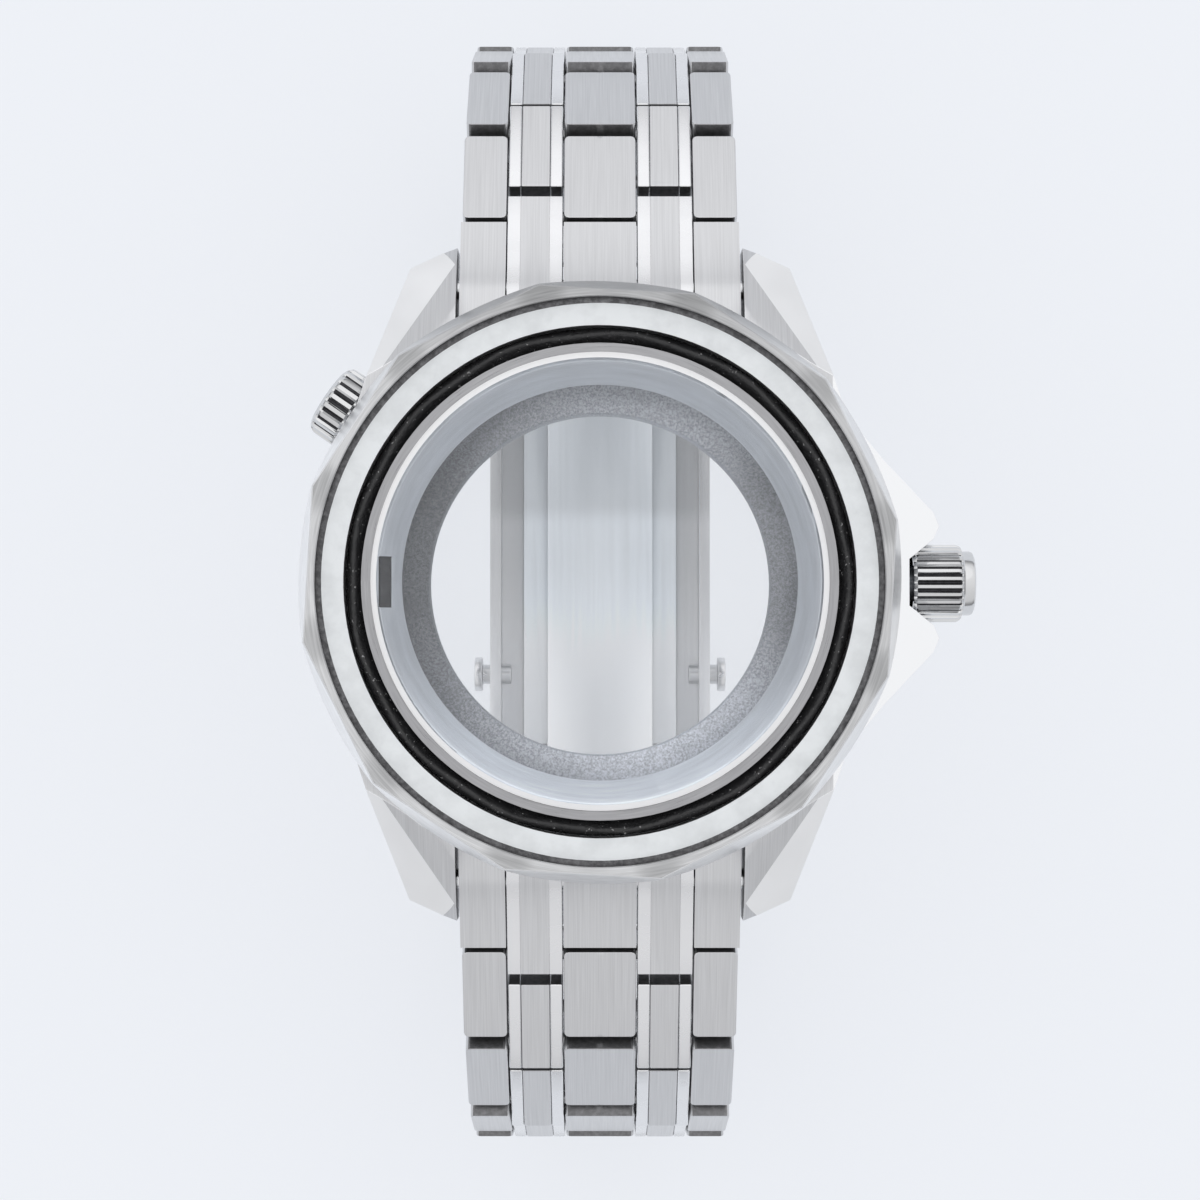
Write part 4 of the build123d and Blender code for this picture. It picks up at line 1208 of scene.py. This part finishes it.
class WATCHCASE_OT_stage(bpy.types.Operator):
    """Builds the pale floor, the soft light and the camera straight above the case."""
    bl_idname = "watchcase.stage"
    bl_label = "Stage"

    def execute(self, context):
        scene = context.scene
        self.floor(scene.watch_colours.floor)
        self.world(scene)
        self.lamp("softbox_12", (0, mm(330), mm(420)), size=mm(600), power=0.12)
        self.camera(scene)
        scene.view_settings.view_transform = "Standard"
        return {"FINISHED"}

    def floor(self, color):
        """A large square under the part, which shines a little of its own so that shadows stay pale."""
        bm = bmesh.new()
        reach = 3.0
        lit_share = 0.3
        z = CAD_BOUNDS[0][2]
        corners = ((-1, -1), (1, -1), (1, 1), (-1, 1))
        bm.faces.new([bm.verts.new((x * reach, y * reach, z)) for x, y in corners])
        mesh = built(bm, "floor")
        material, surface = shader("floor", [c * lit_share for c in color], metallic=0, roughness=0.9)
        surface.inputs["Emission Color"].default_value = (*color, 1)
        surface.inputs["Emission Strength"].default_value = 1 - lit_share
        mesh.materials.append(material)
        floor = bpy.data.objects.new("floor", mesh)
        bpy.context.scene.collection.objects.link(floor)

    def world(self, scene):
        """Soft light all round: brightest overhead, a little brighter from 12 o'clock, dark at the horizon.

        The camera sees plain white behind the floor, while the metal mirrors the studio.
        """
        world = bpy.data.worlds.new("studio")
        scene.world = world
        world.use_nodes = True
        tree = world.node_tree
        studio = tree.nodes["Background"]
        parts = parts_of(tree, new_node(tree, "ShaderNodeTexCoord")["Generated"])
        fade = tree.nodes.new("ShaderNodeValToRGB")
        stops = fade.color_ramp.elements
        stops[0].color = (0.30, 0.31, 0.33, 1)
        stops[1].color = (1.0, 1.0, 1.01, 1)
        for height, level in ((0.10, 0.34), (0.34, 0.88)):
            stops.new(height).color = (level, level, level * 1.02, 1)
        tree.links.new(parts["Z"], fade.inputs["Fac"])
        tree.links.new(fade.outputs["Color"], studio.inputs["Color"])
        tree.links.new(spread(tree, parts["Y"], 0.92, 1.12, -0.5, 0.5), studio.inputs["Strength"])
        white = new_node(tree, "ShaderNodeBackground", {"Color": (*scene.watch_colours.backdrop, 1)})[0]
        seen = new_node(tree, "ShaderNodeLightPath")["Is Camera Ray"]
        mix = new_node(tree, "ShaderNodeMixShader", {0: seen, 1: studio.outputs[0], 2: white})[0]
        tree.links.new(mix, tree.nodes["World Output"].inputs["Surface"])

    def lamp(self, name, place, size, power):
        light = bpy.data.lights.new(name, "AREA")
        light.shape = "DISK"
        light.size = size
        light.energy = power
        obj = bpy.data.objects.new(name, light)
        obj.location = place
        obj.rotation_euler = (-Vector(place)).to_track_quat("-Z", "Y").to_euler()
        bpy.context.scene.collection.objects.link(obj)

    def camera(self, scene):
        """The photograph's camera: 190 mm above the bezel, leaning a little toward 6 o'clock."""
        data = bpy.data.cameras.new("camera")
        data.lens = 84.4
        camera = bpy.data.objects.new("camera", data)
        lean = radians(1.1)
        distance = mm(190)
        target = Vector((0, mm(-1.28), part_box("bezel")[1][2]))
        camera.location = target + distance * Vector((0, -sin(lean), cos(lean)))
        camera.rotation_euler = (lean, 0, 0)
        scene.collection.objects.link(camera)
        scene.camera = camera


class WATCHCASE_PT_panel(bpy.types.Panel):
    """Lists the operators and the sizes."""
    bl_label = "Watch case"
    bl_idname = "WATCHCASE_PT_panel"
    bl_space_type = "VIEW_3D"
    bl_region_type = "UI"
    bl_category = "Watch case"

    def draw(self, context):
        for operator in OPERATORS:
            self.layout.operator(operator.bl_idname)
        for group in (context.scene.watch_head, context.scene.watch_bracelet, context.scene.watch_colours):
            for name in group.__annotations__:
                self.layout.prop(group, name)


GROUPS = {"watch_head": WatchCaseHeadSizes, "watch_bracelet": WatchCaseBraceletSizes,
          "watch_colours": WatchCaseColours}
OPERATORS = (WATCHCASE_OT_middle, WATCHCASE_OT_bezel, WATCHCASE_OT_gasket, WATCHCASE_OT_crystal,
             WATCHCASE_OT_back, WATCHCASE_OT_crown, WATCHCASE_OT_valve, WATCHCASE_OT_links,
             WATCHCASE_OT_end_links, WATCHCASE_OT_clasp, WATCHCASE_OT_stage)


def register():
    for group in (*GROUPS.values(), *OPERATORS, WATCHCASE_PT_panel):
        bpy.utils.register_class(group)
    for name, group in GROUPS.items():
        setattr(bpy.types.Scene, name, bpy.props.PointerProperty(type=group))


def unregister():
    for name in GROUPS:
        delattr(bpy.types.Scene, name)
    for group in (WATCHCASE_PT_panel, *reversed(OPERATORS), *reversed(GROUPS.values())):
        bpy.utils.unregister_class(group)


def main():
    for name in START_UP_OBJECTS:
        if name in bpy.data.objects:
            bpy.data.objects.remove(bpy.data.objects[name])
    register()
    bpy.ops.watchcase.middle()
    bpy.ops.watchcase.bezel()
    bpy.ops.watchcase.gasket()
    bpy.ops.watchcase.crystal()
    bpy.ops.watchcase.back()
    bpy.ops.watchcase.crown()
    bpy.ops.watchcase.valve()
    bpy.ops.watchcase.links()
    bpy.ops.watchcase.end_links()
    bpy.ops.watchcase.clasp()
    bpy.ops.watchcase.stage()


if __name__ == "__main__":
    main()
